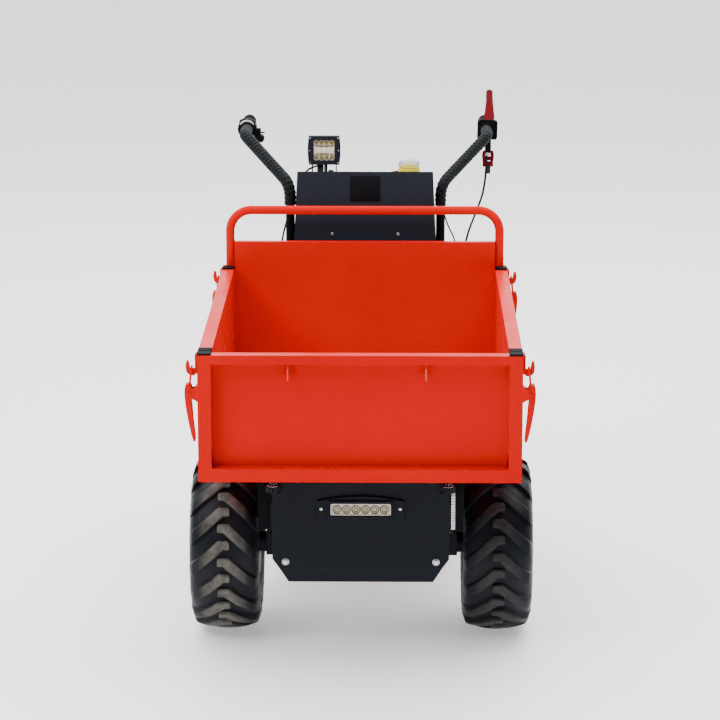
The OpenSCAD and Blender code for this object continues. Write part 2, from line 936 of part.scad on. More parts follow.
module throttle()
{
    placed() color(black)
        translate([-grip_x, 0, grip_z])
            difference() {
                union() {
                    rod_y(0, throttle_y0, throttle_y1, 0, 25);
                    // gauge housing on top, facing the operator
                    intersection() {
                        box([-21, throttle_y0, 0], [21, throttle_y0 + 22, 28]);
                        rod_y(0, throttle_y0 - 1, throttle_y1 + 1, -6, 34);
                    }
                    // switch box and its clamp screw on the inner side
                    box([18, throttle_y0 + 2, -30], [36, throttle_y0 + 26, 0]);
                    rod_y(36, throttle_y0 - 4, throttle_y0 + 28, -26, 9);
                    box([18, throttle_y0 + 6, -12], [47, throttle_y0 + 14, -9]);
                }
                rod_y(0, throttle_y0 - 1, throttle_y1 + 1, 0, bar_d / 2 + 0.2);
            }
}

module brake_perch()
{
    placed() color(black)
        translate([grip_x, 0, grip_z])
            difference() {
                union() {
                    rod_y(0, perch_y0, perch_y0 + 34, 0, 20);
                    slab_y(perch_y0 + 2, perch_y0 + 30, [[-23, -20], [-18, -25], [26, -28], [30, -22],
                        [31, 18], [22, 25], [-14, 26], [-22, 20]]);
                    // arm down to the cable's anchor
                    box([-2, perch_y0 + 6, -64], [14, perch_y0 + 20, -10]);
                    box([0, perch_y0 + 4, -119], [12, perch_y0 + 18, -101]);
                }
                rod_y(0, perch_y0 - 1, perch_y0 + 35, 0, bar_d / 2 + 0.2);
                box([-9, perch_y0 + 7, 10], [24, perch_y0 + 40, 30]);
            }
}

module brake_lever()
{
    blade_l = 109;
    placed() color([0.7, 0.05, 0.1])
        translate([grip_x + 11, perch_y0 + 15, grip_z + 14]) {
            // blade, wider at its root, rising backwards over the grip
            rotate([-50, 0, 0]) {
                translate([0, 5, 0])
                    rotate([90, 0, 0])
                        linear_extrude(9)
                            polygon([[-9, 2], [9, 2], [12, 22], [11, 40], [9, 76], [9, blade_l],
                                [-9, blade_l], [-9.5, 76], [-14, 36], [-18, 16]]);
                translate([0, 5, blade_l])
                    rotate([90, 0, 0])
                        cylinder(h = 9, r = 9);
            }
            // fork that holds the cable's barrel below the bar
            both_sides_of(-5)
                slab_x(8, 14, [[-10, -73], [4, -73], [6, -89], [3, -115], [-8, -115], [-11, -89]]);
            box([-19, -8, -115], [9, 3, -107]);
            // pin that it turns on, and the cable's barrel
            rod_x(-13, 13, 0, 4, 3);
            rod_x(-13, 3, -3, -93, 5.5);
        }
}

module both_sides_of(x)
{
    translate([x, 0, 0])
        both_sides()
            children();
}

// ---------------------------------------------------------------- bed

// a knuckle of the front gate's hinges, under the floor's front cross member
module knuckle_x(x, l, y, z)
{
    difference() {
        rod_x(x - l / 2, x + l / 2, y, z, gate_knuckle_r);
        rod_x(x - l, x + l, y, z, gate_pin_r + run_gap);
    }
}

module knuckle_y(x, y, l, z)
{
    difference() {
        rod_y(x, y - l / 2, y + l / 2, z, knuckle_r);
        rod_y(x, y - l, y + l, z, hinge_pin_d / 2 + run_gap);
    }
}

// under-floor cross members: place and depth
floor_members = [[side_y0, tube], [260, 40], [act_y1 - 20, 40], [bed_l - 300, 40],
    [side_y1 - tube, tube]];
floor_x = inner_w - panel_gap;

module bed_floor()
{
    placed() color(red) {
        difference() {
            union() {
                box([-floor_x, side_y0, floor_top - sheet], [floor_x, side_y1, floor_top]);
                both_sides()
                    box([floor_x - tube, side_y0, bed_z], [floor_x, side_y1, floor_top]);
                for (m = floor_members)
                    box([-floor_x, m[0], bed_z], [floor_x, m[0] + m[1], floor_top]);
            }
            // room for the gate's own knuckles
            for (x = gate_hinge_at, s = [-1, 1])
                box([gate_knuckle_at(x, s) - 11, side_y0 - 1, bed_z - 1],
                    [gate_knuckle_at(x, s) + 11, gate_hinge_y + gate_knuckle_r + 1.5,
                    gate_hinge_z + gate_knuckle_r + 1.5]);
        }
        // hinge knuckles for the front gate
        for (x = gate_hinge_at)
            knuckle_x(x, knuckle_l, gate_hinge_y, gate_hinge_z);
        // and for the side panels
        both_sides()
            for (y = side_hinge_at) {
                knuckle_y(side_hinge_x, y, knuckle_l, hinge_z);
                box([floor_x - 20, y - knuckle_l / 2, hinge_z - knuckle_r],
                    [side_hinge_x - 5, y + knuckle_l / 2, hinge_z - 1]);
                box([floor_x - 20, y - knuckle_l / 2, hinge_z - knuckle_r],
                    [floor_x, y + knuckle_l / 2, bed_z]);
            }
    }
}

module bed_subframe()
{
    rail_z = bed_z - bed_rail_h;
    ear_x = 17;
    placed() color(red) {
        both_sides()
            difference() {
                union() {
                    box([rail_x - bed_rail_w / 2, pivot_y + 50, rail_z],
                        [rail_x + bed_rail_w / 2, side_y1 - tube, bed_z]);
                    rod_x(rail_x - bed_rail_w / 2, rail_x + bed_rail_w / 2, pivot_y, pivot_z, bed_eye_r);
                    slab_x(rail_x - bed_rail_w / 2, rail_x + bed_rail_w / 2,
                        [[pivot_y, pivot_z - bed_eye_r], [pivot_y - 10, pivot_z],
                        [pivot_y + 3, pivot_z + 24], [pivot_y + 3, bed_z], [pivot_y + 60, bed_z],
                        [pivot_y + 60, rail_z], [pivot_y + 20, rail_z]]);
                }
                rod_x(0, half_w, pivot_y, pivot_z, pivot_d / 2 + run_gap);
            }
        // ears and pin for the actuator's upper eye
        both_sides()
            slab_x(ear_x, ear_x + ear_t, [[act_y1 - 30, bed_z], [act_y1 + 30, bed_z],
                [act_y1 + 14, act_z1 - 14], [act_y1 - 14, act_z1 - 14]]);
        rod_x(-ear_x - ear_t - 3, ear_x + ear_t + 3, act_y1, act_z1, act_pin_r);
    }
}

module rear_wall()
{
    y0 = bed_l - tube;
    placed() color(red) {
        box([-inner_w, y0, bed_z], [inner_w, y0 + sheet, wall_top]);
        both_sides()
            box([inner_w, y0, bed_z - 6], [half_w, bed_l, panel_top]);
        box([-inner_w, y0, wall_top - sheet], [inner_w, bed_l - 12, wall_top]);
        box([-inner_w, y0, bed_z], [inner_w, bed_l, bed_z + tube]);
        box([-inner_w, y0, panel_top - 40], [inner_w, bed_l - 8, panel_top - 15]);
        // rails that tie the wall to the bed's own rails
        both_sides()
            box([rail_x - bed_rail_w / 2, side_y1 - tube, bed_z - 25],
                [rail_x + bed_rail_w / 2, bed_l, bed_z]);
        // feet that tie the corner posts to the floor's edge channels
        both_sides() {
            box([floor_x - tube, side_y1 - tube, bed_z - 6], [floor_x, bed_l, bed_z]);
            box([floor_x - tube, y0, bed_z - 6], [half_w, bed_l, bed_z]);
        }
    }
}

module hoop()
{
    x = half_w - 8 - hoop_d / 2;
    y = bed_l - tube / 2;
    z = wall_top + hoop_rise - hoop_d / 2;
    placed() color(red)
        bent_bar([[-x, y, panel_top], [-x, y, z], [x, y, z], [x, y, panel_top]], hoop_bend,
            hoop_d / 2);
}

// ---------------------------------------------------------------- latches

// heights over the panel's top edge, and distances out from its side face
hook_top = -13;
neck_top = -31;
neck_bottom = -42;
link_x = 12;
link_space = 0.8;
base_z = -88;
hook_t = 5;
hook_reach = 8;

// the hook's outline: a neck and a hammer head
module hook_outline()
{
    polygon([[5, neck_top], [link_x + link_d / 2 + 1, neck_top], [18, hook_top - 4], [20, hook_top],
        [24, hook_top - 2], [26, neck_top + 4], [24, neck_bottom + 2], [18, neck_bottom - 4],
        [5, neck_bottom - 6]]);
}

// a hook on the +X side: along is the middle of the latch, way +1 when the
// hook's plate lies behind it and -1 when it lies before it
module hook(along, way)
{
    translate([half_w, along, panel_top])
        scale([1, way, 1]) {
            translate([0, hook_t / 2, 0])
                rotate([90, 0, 0])
                    linear_extrude(hook_t)
                        hook_outline();
            box([1, -hook_t / 2, -44], [6, 40, neck_top]);
            box([1, hook_reach, -44], [6, 40, -3]);
            box([0, 24, -40], [2, 38, -8]);
        }
}

// base bracket, lever and wire link of the same latch
module latch(along, way)
{
    r = link_d / 2;
    leg_y = -hook_t / 2 - 0.6 - r;
    bar_z = neck_top + link_space + r;
    pivot_x = 15;
    translate([half_w, along, panel_top])
        scale([1, way, 1]) {
            // bracket
            box([0, -12, base_z - 17], [4, 12, base_z + 17]);
            for (y = [-12, 9])
                slab_y(y, y + 3, [[0, base_z - 16], [0, base_z + 16], [pivot_x, base_z + 10],
                    [pivot_x + 5, base_z], [pivot_x + 2, base_z - 10]]);
            // lever: a tapering blade that curves back to the panel
            lever(pivot_x);
            // link: one leg beside the hook and a bar over its neck
            stick([pivot_x + 4, leg_y, base_z + 4], [link_x, leg_y, bar_z], r);
            translate([link_x, leg_y, bar_z])
                sphere(r);
            rod_y(link_x, leg_y, hook_t / 2, bar_z, r);
        }
}

// outline of the lever's side, from its root to its tip: drop, outer and inner face
lever_steps = [[-14, 24, 17], [-4, 27, 14], [12, 27, 15], [40, 23.5, 17], [70, 19, 13.5],
    [100, 13.5, 9], [lever_l, 9, 6.5]];

module lever(pivot_x)
{
    top = base_z + 8;
    slab_y(-lever_w / 2 + 1.5, lever_w / 2 - 1.5, concat([for (s = lever_steps) [s[1], top - s[0]]],
        [for (i = [len(lever_steps) - 1 : -1 : 0]) [lever_steps[i][2], top - lever_steps[i][0]]]));
    rod_y(pivot_x, -12, 12, base_z, 3);
}

gate_latch_y = 12;
rear_latch_y = bed_l - 12;

module gate_latches()
{
    placed() color(red)
        both_sides()
            latch(gate_latch_y, 1);
}

module rear_latches()
{
    placed() color(red)
        both_sides()
            latch(rear_latch_y, -1);
}

// ---------------------------------------------------------------- panels

function gate_knuckle_at(x, s) = x + s * (knuckle_l / 2 + knuckle_space + 10);

module gate_knuckles()
{
    for (x = gate_hinge_at, s = [-1, 1]) {
        c = gate_knuckle_at(x, s);
        rod_x(c - 10, c + 10, gate_hinge_y, gate_hinge_z, gate_knuckle_r);
        box([c - 10, tube - 6, gate_hinge_z - 2.5], [c + 10, gate_hinge_y, bed_z]);
        box([c - 10, tube - 6, gate_hinge_z - 2.5], [c + 10, tube - 1, bed_z + 1]);
    }
    for (x = gate_hinge_at)
        rod_x(x - knuckle_l / 2 - 12, x + knuckle_l / 2 + 12, gate_hinge_y, gate_hinge_z, gate_pin_r);
}

// small stops that hang under the gate's top rail
gate_tabs = [-160, 146];

module gate()
{
    placed() color(red) {
        box([-inner_w, tube - sheet, bed_z], [inner_w, tube, panel_top]);
        both_sides()
            box([inner_w, 0, bed_z], [half_w, tube, panel_top]);
        box([-inner_w, 0, bed_z], [inner_w, tube, bed_z + tube]);
        box([-inner_w, 0, panel_top - top_rail], [inner_w, tube, panel_top]);
        for (x = gate_tabs)
            box([x - 2.5, 8, panel_top - top_rail - 31], [x + 2.5, tube - 1, panel_top - top_rail + 1]);
        gate_knuckles();
    }
}

module cap(x0, y0)
{
    translate([x0 - 0.5, y0 - 0.5, panel_top]) {
        cube([tube + 1, tube + 1, cap_h - 1]);
        translate([1.5, 1.5, 0])
            cube([tube - 2, tube - 2, cap_h]);
    }
}

module gate_caps()
{
    placed() color(rubber)
        both_sides()
            cap(inner_w, 0.5);
}

module side_caps()
{
    placed() color(rubber) {
        cap(inner_w, side_y0);
        cap(inner_w, side_y1 - tube);
    }
}

module side_caps_right()
{
    side_caps();
}

module side_caps_left()
{
    mirror([1, 0, 0])
        side_caps();
}

module side_knuckles()
{
    for (y = side_hinge_at, s = [-1, 1]) {
        c = y + s * (knuckle_l / 2 + knuckle_space + 10);
        rod_y(side_hinge_x, c - 10, c + 10, hinge_z, knuckle_r);
        box([side_hinge_x - 6, c - 10, hinge_z - 1], [side_hinge_x + 6, c + 10, bed_z]);
    }
    for (y = side_hinge_at)
        rod_y(side_hinge_x, y - knuckle_l / 2 - 12, y + knuckle_l / 2 + 12, hinge_z, hinge_pin_d / 2);
}

// upright stiffeners on the outside of a side panel
side_ribs = [340, bed_l - 360];

module side_panel()
{
    placed() color(red) {
        box([inner_w, side_y0, bed_z], [inner_w + sheet, side_y1, panel_top]);
        box([inner_w, side_y0, bed_z], [half_w, side_y0 + tube, panel_top]);
        box([inner_w, side_y1 - tube, bed_z], [half_w, side_y1, panel_top]);
        box([inner_w, side_y0, bed_z], [half_w, side_y1, bed_z + tube]);
        box([inner_w, side_y0, panel_top - top_rail], [half_w, side_y1, panel_top]);
        for (y = side_ribs)
            box([inner_w, y, bed_z + 1], [half_w - 5, y + 20, panel_top - 1]);
        side_knuckles();
        hook(gate_latch_y, 1);
        hook(rear_latch_y, -1);
    }
}

module side_right()
{
    side_panel();
}

module side_left()
{
    mirror([1, 0, 0])
        side_panel();
}

// ---------------------------------------------------------------- drive wheels

// outer outline of the carcass, right half, as distance from the middle and radius
shoulder_x = tyre_w / 2 - 9;

// the tyre's bore has this many flats, so its corners stand off the round rim
bore_flats = 2 * lugs;
bead_r = (rim_r + seat_gap) / cos(180 / bore_flats);
tyre_outer = [[lip_x - 5.6, bead_r], [lip_x - 3.6, rim_r + 10.8], [tyre_w / 2 - 3, rim_r + 24],
    [tyre_w / 2, rim_r + 50], [shoulder_x, carcass_r - 16], [shoulder_x - 32, carcass_r - 3]];
tyre_inner = [[lip_x - 19, bead_r], [tyre_w / 2 - 14, rim_r + 44], [0, carcass_r - 16]];

function mirrored(p) = [for (i = [len(p) - 1 : -1 : 0]) [-p[i][0], p[i][1]]];

module carcass()
{
    rotate([0, 90, 0])
        rotate_extrude($fn = bore_flats)
            polygon([for (q = concat(tyre_outer, mirrored(tyre_outer), carcass_hollow())) [q[1], q[0]]]);
}

function carcass_hollow() = concat([for (q = tyre_inner) [-q[0], q[1]]],
    [for (i = [len(tyre_inner) - 2 : -1 : 0]) tyre_inner[i]]);

// a lug's sections: distance from the middle, run along the tread, top and root
// radius measured from the lug tips, and half of the lug's width along the tread
lug_steps = [[-14, 10, 0.5, 18, 10], [8, 13.7, 0, 18, 13.7], [shoulder_x, 70, 14, 34, 16.5],
    [tyre_w / 2 - 1, 82, 36, 52, 13]];

// turns of the parked wheels; at both, the edge of a lug is on the ground
parked_left = 5.8;
parked_right = 12.8;

// one lug point: at place x, run s along the tread and radius r
function on_tread(x, s, r) = let (a = s / wheel_r * 180 / PI) [x, r * sin(a), -r * cos(a)];

module lug()
{
    for (i = [0 : len(lug_steps) - 2])
        hull()
            polyhedron(points = [for (k = [i, i + 1]) for (w = [-1, 1]) for (e = [2, 3])
                let (q = lug_steps[k])
                on_tread(q[0], q[1] + w * q[4], wheel_r - q[e])],
                faces = [[0, 1, 3, 2], [4, 5, 7, 6]]);
}

module drive_tyre(parked)
{
    carcass();
    for (i = [0 : lugs - 1], s = [0, 1])
        rotate([(i + s / 2) * 360 / lugs + parked, 0, 0])
            mirror([s, 0, 0])
                lug();
}

module rim()
{
    lip = lip_x;
    disc_x = 8;
    difference() {
        union() {
            rotate([0, 90, 0])
                rotate_extrude()
                    polygon([[rim_r + 10, -lip], [rim_r + 10, -lip + 3], [rim_r, -lip + 5],
                        [rim_r, -30], [rim_r - 12, -20], [rim_r - 12, 20], [rim_r, 30],
                        [rim_r, lip - 5], [rim_r + 10, lip - 3], [rim_r + 10, lip],
                        [rim_r - 3, lip], [rim_r - 4, 32], [rim_r - 16, 22], [rim_r - 16, disc_x + 6],
                        [74, disc_x + 6], [60, disc_x + 20], [hub_r, disc_x + 20], [hub_r, hub_l / 2],
                        [stub_r + run_gap, hub_l / 2], [stub_r + run_gap, -hub_l / 2 + 25],
                        [hub_r, -hub_l / 2 + 25], [hub_r, disc_x + 12], [58, disc_x + 12],
                        [72, disc_x], [rim_r - 16, disc_x], [rim_r - 16, -22], [rim_r - 4, -32],
                        [rim_r - 3, -lip]]);
            for (a = [0 : 72 : 288])
                rotate([a, 0, 0])
                    rod_x(disc_x + 19, disc_x + 32, 0, 46, 8);
        }
        for (a = [36 : 72 : 324])
            rotate([a, 0, 0])
                rod_x(disc_x - 10, disc_x + 30, 0, 74, 7);
    }
}

module at_wheel()
{
    placed()
        translate([wheel_x, axle_y, wheel_r])
            children();
}

module tyre_right()
{
    color(rubber)
        at_wheel()
            drive_tyre(parked_right);
}

module tyre_left()
{
    color(rubber)
        mirror([1, 0, 0])
            at_wheel()
                drive_tyre(parked_left);
}

module rim_right()
{
    color(black)
        at_wheel()
            rim();
}

module rim_left()
{
    mirror([1, 0, 0])
        rim_right();
}

// ---------------------------------------------------------------- casters

module at_caster()
{
    placed()
        translate([caster_x, caster_y, 0])
            children();
}

crown_top = rail_bottom - 19;
crown_bottom = caster_d + 10;
fork_x = caster_w / 2 + fork_space;

module caster_fork()
{
    at_caster() {
        translate([0, 0, crown_bottom])
            cylinder(h = crown_top - crown_bottom, r = 34);
        translate([0, 0, crown_top - 1])
            cylinder(h = rail_bottom + 10 - crown_top, r = stem_r);
        box([-fork_x - fork_leg_t, -30, crown_bottom],
            [fork_x + fork_leg_t, caster_trail + 10, crown_bottom + 8]);
        both_sides()
            slab_x(fork_x, fork_x + fork_leg_t, [[-30, crown_bottom + 8],
                [caster_trail + 10, crown_bottom + 8], [caster_trail + 16, caster_r],
                [caster_trail + 10, caster_r - 16], [caster_trail - 10, caster_r - 16],
                [caster_trail - 18, caster_r]]);
        rod_x(-fork_x - fork_leg_t - 6, fork_x + fork_leg_t + 6, caster_trail, caster_r, caster_bolt_r);
    }
}

module caster_fork_right()
{
    color(black)
        caster_fork();
}

module caster_fork_left()
{
    color(black)
        mirror([1, 0, 0])
            caster_fork();
}

module caster_tyre()
{
    w = caster_w / 2;
    r = caster_rim_r + 0.3;
    at_caster()
        translate([0, caster_trail, caster_r])
            rotate([0, 90, 0])
                rotate_extrude()
                    polygon([[r, -w + 12], [r + 10, -w + 3], [r + 26, -w], [caster_r - 10, -w + 5],
                        [caster_r - 2, -w + 16], [caster_r, -w + 26], [caster_r, w - 26],
                        [caster_r - 2, w - 16], [caster_r - 10, w - 5], [r + 26, w], [r + 10, w - 3],
                        [r, w - 12]]);
}

module caster_rim()
{
    w = caster_w / 2;
    at_caster()
        translate([0, caster_trail, caster_r])
            rotate([0, 90, 0])
                rotate_extrude()
                    polygon([[caster_rim_r, -w + 11], [caster_rim_r, w - 11],
                        [caster_rim_r - 5, w - 11], [caster_rim_r - 8, 5], [22, 5], [20, fork_x - 2],
                        [caster_bolt_r + run_gap, fork_x - 2], [caster_bolt_r + run_gap, 2 - fork_x],
                        [20, 2 - fork_x], [22, -5], [caster_rim_r - 8, -5],
                        [caster_rim_r - 5, -w + 11]]);
}

module caster_tyre_right()
{
    color(rubber)
        caster_tyre();
}

module caster_tyre_left()
{
    color(rubber)
        mirror([1, 0, 0])
            caster_tyre();
}

module caster_rim_right()
{
    color(zinc)
        caster_rim();
}

module caster_rim_left()
{
    color(zinc)
        mirror([1, 0, 0])
            caster_rim();
}

// ---------------------------------------------------------------- lift actuator

// moves to the actuator's lower pivot, with y along the actuator
module along_actuator()
{
    placed()
        translate([0, act_y0, act_z0])
            rotate([act_tilt, 0, 0])
                children();
}

module cylinder_tube()
{
    color(black)
        along_actuator() {
            difference() {
                union() {
                    rod_y(0, 30, act_tube_l, 0, act_tube_r);
                    rod_x(-14, 14, 0, 0, 15);
                    box([-12, 0, -12], [12, 32, 12]);
                }
                rod_y(0, 60, act_tube_l + 1, 0, act_rod_r + 1);
            }
            rod_x(-26, 26, 0, 0, 6);
        }
}

module cylinder_rod()
{
    color(zinc)
        along_actuator()
            difference() {
                union() {
                    rod_y(0, 80, act_l - act_eye_bore - 1, 0, act_rod_r);
                    rod_x(-12, 12, act_l, 0, act_eye_r);
                }
                rod_x(-20, 20, act_l, 0, act_eye_bore);
            }
}

chassis_frame();
axle_beam();
drive_motor();
guard_plate();
light_bar();
light_bar_lens();
buffers();
corner_strips();
cabinet();
battery_block();
console();
work_lamp();
work_lamp_lens();
beacon_base();
beacon_dome();
handlebars();
sleeves();
grips();
throttle();
brake_perch();
brake_lever();
cable_brake();
cable_left();
cable_right();
cable_lamp();
bed_floor();
bed_subframe();
rear_wall();
hoop();
rear_latches();
gate();
gate_caps();
gate_latches();
side_left();
side_right();
side_caps_left();
side_caps_right();
tyre_left();
tyre_right();
rim_left();
rim_right();
caster_fork_left();
caster_fork_right();
caster_tyre_left();
caster_tyre_right();
caster_rim_left();
caster_rim_right();
cylinder_tube();
cylinder_rod();
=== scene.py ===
import bpy
import bmesh
import json
import math
from mathutils import Matrix, Vector


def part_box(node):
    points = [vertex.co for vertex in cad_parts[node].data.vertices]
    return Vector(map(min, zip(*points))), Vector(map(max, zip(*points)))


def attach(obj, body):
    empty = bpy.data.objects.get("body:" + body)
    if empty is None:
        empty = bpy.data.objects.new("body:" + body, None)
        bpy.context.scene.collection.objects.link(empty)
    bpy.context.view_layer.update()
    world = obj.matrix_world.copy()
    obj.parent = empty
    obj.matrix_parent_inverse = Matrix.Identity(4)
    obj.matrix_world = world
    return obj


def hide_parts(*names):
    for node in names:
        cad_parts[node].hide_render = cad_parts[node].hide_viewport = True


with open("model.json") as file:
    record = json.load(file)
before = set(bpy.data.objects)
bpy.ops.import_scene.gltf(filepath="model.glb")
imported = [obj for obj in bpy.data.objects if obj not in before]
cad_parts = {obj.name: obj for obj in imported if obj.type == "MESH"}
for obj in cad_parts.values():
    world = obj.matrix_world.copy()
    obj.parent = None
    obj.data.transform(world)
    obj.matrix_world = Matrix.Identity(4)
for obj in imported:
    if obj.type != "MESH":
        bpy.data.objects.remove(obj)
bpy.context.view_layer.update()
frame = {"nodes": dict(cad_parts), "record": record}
nodes = frame["nodes"]

# Lengths of shapes are in millimetres: x across, y back from the bed's front face, z up.
# Lights, the camera and materials are in metres, in the frame's own axes.
bed_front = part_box("gate")[0][1]
TO_FRAME = Matrix.Translation((0.0, bed_front, 0.0)) @ Matrix.Scale(0.001, 4)
TO_MM = TO_FRAME.inverted()


def mm_box(node):
    """A node's lowest and highest corner, in millimetres behind the bed's front."""
    low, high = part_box(node)
    return TO_MM @ Vector(low), TO_MM @ Vector(high)


def new_object(name, data):
    obj = bpy.data.objects.new(name, data)
    bpy.context.scene.collection.objects.link(obj)
    return obj


# ---------------------------------------------------------------- camera and light
CAMERA_PITCH = 13.5
CAMERA_TURN = 0.700
lens = bpy.data.cameras.new("camera")
lens.sensor_width = 36.0
lens.lens = 141.3
lens.clip_end = 50.0
camera = new_object("camera", lens)
camera.location = (0.0738, bed_front - 6.052, 2.184)
camera.rotation_euler = (math.radians(90.0 - CAMERA_PITCH), 0.0, math.radians(CAMERA_TURN))
bpy.context.scene.camera = camera


def area_light(name, place, target, size, power):
    """A soft rectangular light at place, turned towards target."""
    data = bpy.data.lights.new(name, "AREA")
    data.shape = "RECTANGLE"
    data.size, data.size_y = size
    data.energy = power
    lamp = new_object(name, data)
    lamp.location = place
    lamp.rotation_euler = (Vector(target) - Vector(place)).to_track_quat("-Z", "Y").to_euler()


area_light("key", (-2.2, -2.4, 3.2), (0.0, -0.2, 0.5), (1.6, 1.6), 92)
area_light("top", (0.0, 0.8, 5.2), (0.0, 0.4, 0.0), (7.0, 7.0), 560)
area_light("bed", (0.15, -0.62, 1.75), (0.0, 0.2, 0.58), (1.2, 0.4), 7)
area_light("back", (0.8, 4.2, 2.2), (0.0, 0.3, 0.6), (3.4, 1.6), 22)

# the studio's paper is bright behind and below the machine and dim towards its front
world = bpy.data.worlds.new("studio")
bpy.context.scene.world = world
world.use_nodes = True
tree = world.node_tree
background = tree.nodes["Background"]
background.inputs["Strength"].default_value = 1.0
split = tree.nodes.new("ShaderNodeSeparateXYZ")
tree.links.new(tree.nodes.new("ShaderNodeTexCoord").outputs["Generated"], split.inputs[0])
fade = tree.nodes.new("ShaderNodeMapRange")
fade.interpolation_type = "SMOOTHSTEP"
for socket, value in (("From Min", -0.35), ("From Max", 0.55), ("To Min", 0.28), ("To Max", 2.6)):
    fade.inputs[socket].default_value = value
tree.links.new(split.outputs["Y"], fade.inputs["Value"])
tree.links.new(fade.outputs["Result"], background.inputs["Color"])


# ---------------------------------------------------------------- materials
def ramp(tree, source, stops):
    """Values or colours between (place, value) stops."""
    node = tree.nodes.new("ShaderNodeValToRGB")
    tree.links.new(source, node.inputs[0])
    while len(node.color_ramp.elements) < len(stops):
        node.color_ramp.elements.new(0.5)
    for e, (place, value) in zip(node.color_ramp.elements, stops):
        e.position = place
        e.color = (*value, 1.0) if isinstance(value, tuple) else (value, value, value, 1.0)
    return node.outputs[0]


def noise(tree, coords, scale, detail=4.0, rough=0.55, stretch=(1.0, 1.0, 1.0)):
    mapping = tree.nodes.new("ShaderNodeMapping")
    mapping.inputs["Scale"].default_value = stretch
    tree.links.new(coords, mapping.inputs["Vector"])
    node = tree.nodes.new("ShaderNodeTexNoise")
    node.inputs["Scale"].default_value = scale
    node.inputs["Detail"].default_value = detail
    node.inputs["Roughness"].default_value = rough
    tree.links.new(mapping.outputs[0], node.inputs["Vector"])
    return node.outputs[0]


def math_node(tree, how, a, b=None):
    """A Math node on one or two values or sockets."""
    node = tree.nodes.new("ShaderNodeMath")
    node.operation = how
    for i, v in enumerate((a, b)):
        if v is None:
            continue
        if isinstance(v, (int, float)):
            node.inputs[i].default_value = v
        else:
            tree.links.new(v, node.inputs[i])
    return node.outputs[0]


def vector_node(tree, how, a, b=None, out="Vector"):
    """A Vector Math node; b is a fixed vector, a socket or nothing."""
    node = tree.nodes.new("ShaderNodeVectorMath")
    node.operation = how
    tree.links.new(a, node.inputs[0])
    if isinstance(b, tuple):
        node.inputs[1].default_value = b
    elif b is not None:
        tree.links.new(b, node.inputs[1])
    return node.outputs[out]


def mix(tree, factor, a, b):
    """Colour a to b by a socket's value; a and b are colours or sockets."""
    node = tree.nodes.new("ShaderNodeMix")
    node.data_type = "RGBA"
    tree.links.new(factor, node.inputs[0])
    for i, v in ((6, a), (7, b)):
        if isinstance(v, tuple):
            node.inputs[i].default_value = (*v, 1.0)
        else:
            tree.links.new(v, node.inputs[i])
    return node.outputs[2]


def finish_of(name, color, dark=None, rough=(0.3, 0.4), metal=0.0, spec=0.5, blotch=(6.0, 0.35),
              grain=(900.0, 0.06, 0.0004), edge=None, edge_r=0.0012, stretch=(1.0, 1.0, 1.0),
              extra=None, uniform=()):
    """A painted, moulded or plated finish.

    blotch is the scale and strength of slow colour changes between dark and color; grain the
    scale, strength and height of the fine surface; edge is the colour along sharp edges, partly
    wear and partly a painted highlight, and edge_r how far it reaches; extra adds to the colour;
    uniform holds values for the shader's own sockets.
    """
    m = bpy.data.materials.new(name)
    m.use_nodes = True
    t = m.node_tree
    shader = t.nodes["Principled BSDF"]
    for socket, value in (("Metallic", metal), ("Specular IOR Level", spec), *uniform):
        shader.inputs[socket].default_value = value
    coords = t.nodes.new("ShaderNodeTexCoord").outputs["Object"]
    slow = noise(t, coords, blotch[0], 5.0, 0.6, stretch)
    dark = dark or tuple(c * 0.8 for c in color)
    patches = ramp(t, slow, ((0.5 - blotch[1] / 2, 0.0), (0.5 + blotch[1] / 2, 1.0)))
    col = mix(t, patches, dark, color)
    fine = noise(t, coords, grain[0], 3.0, 0.6, stretch)
    specks = ramp(t, fine, ((0.35, grain[1]), (0.65, 0.0)))
    col = mix(t, specks, col, tuple(c * 0.45 for c in color))
    bevel = t.nodes.new("ShaderNodeBevel")
    bevel.samples = 4
    bevel.inputs["Radius"].default_value = edge_r
    # painted highlight as well as wear: sharp edges turn towards the edge colour
    if edge:
        flat = t.nodes.new("ShaderNodeNewGeometry").outputs["Normal"]
        dot = vector_node(t, "DOT_PRODUCT", bevel.outputs[0], flat, "Value")
        turned = ramp(t, math_node(t, "SUBTRACT", 1.0, dot), ((0.04, 0.0), (0.16, 1.0)))
        broken = ramp(t, noise(t, coords, 60.0, 3.0), ((0.42, 0.0), (0.62, 1.0)))
        col = mix(t, math_node(t, "MULTIPLY", turned, broken), col, edge)
    if extra:
        col = extra(t, coords, col)
    t.links.new(col, shader.inputs["Base Color"])
    haze = noise(t, coords, blotch[0] * 2.3, 4.0, 0.6, stretch)
    t.links.new(ramp(t, haze, ((0.35, rough[0]), (0.65, rough[1]))), shader.inputs["Roughness"])
    bump = t.nodes.new("ShaderNodeBump")
    bump.inputs["Strength"].default_value = 0.5
    bump.inputs["Distance"].default_value = grain[2]
    t.links.new(fine, bump.inputs["Height"])
    t.links.new(bevel.outputs[0], bump.inputs["Normal"])
    t.links.new(bump.outputs[0], shader.inputs["Normal"])
    return m


# the right drive wheel's middle and radius in metres, for the tyres' dust and painted light
wheel_low, wheel_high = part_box("tyre_right")
wheel_x, wheel_y, wheel_z = ((low + high) / 2 for low, high in zip(wheel_low, wheel_high))
wheel_r = (wheel_high[1] - wheel_low[1]) / 2


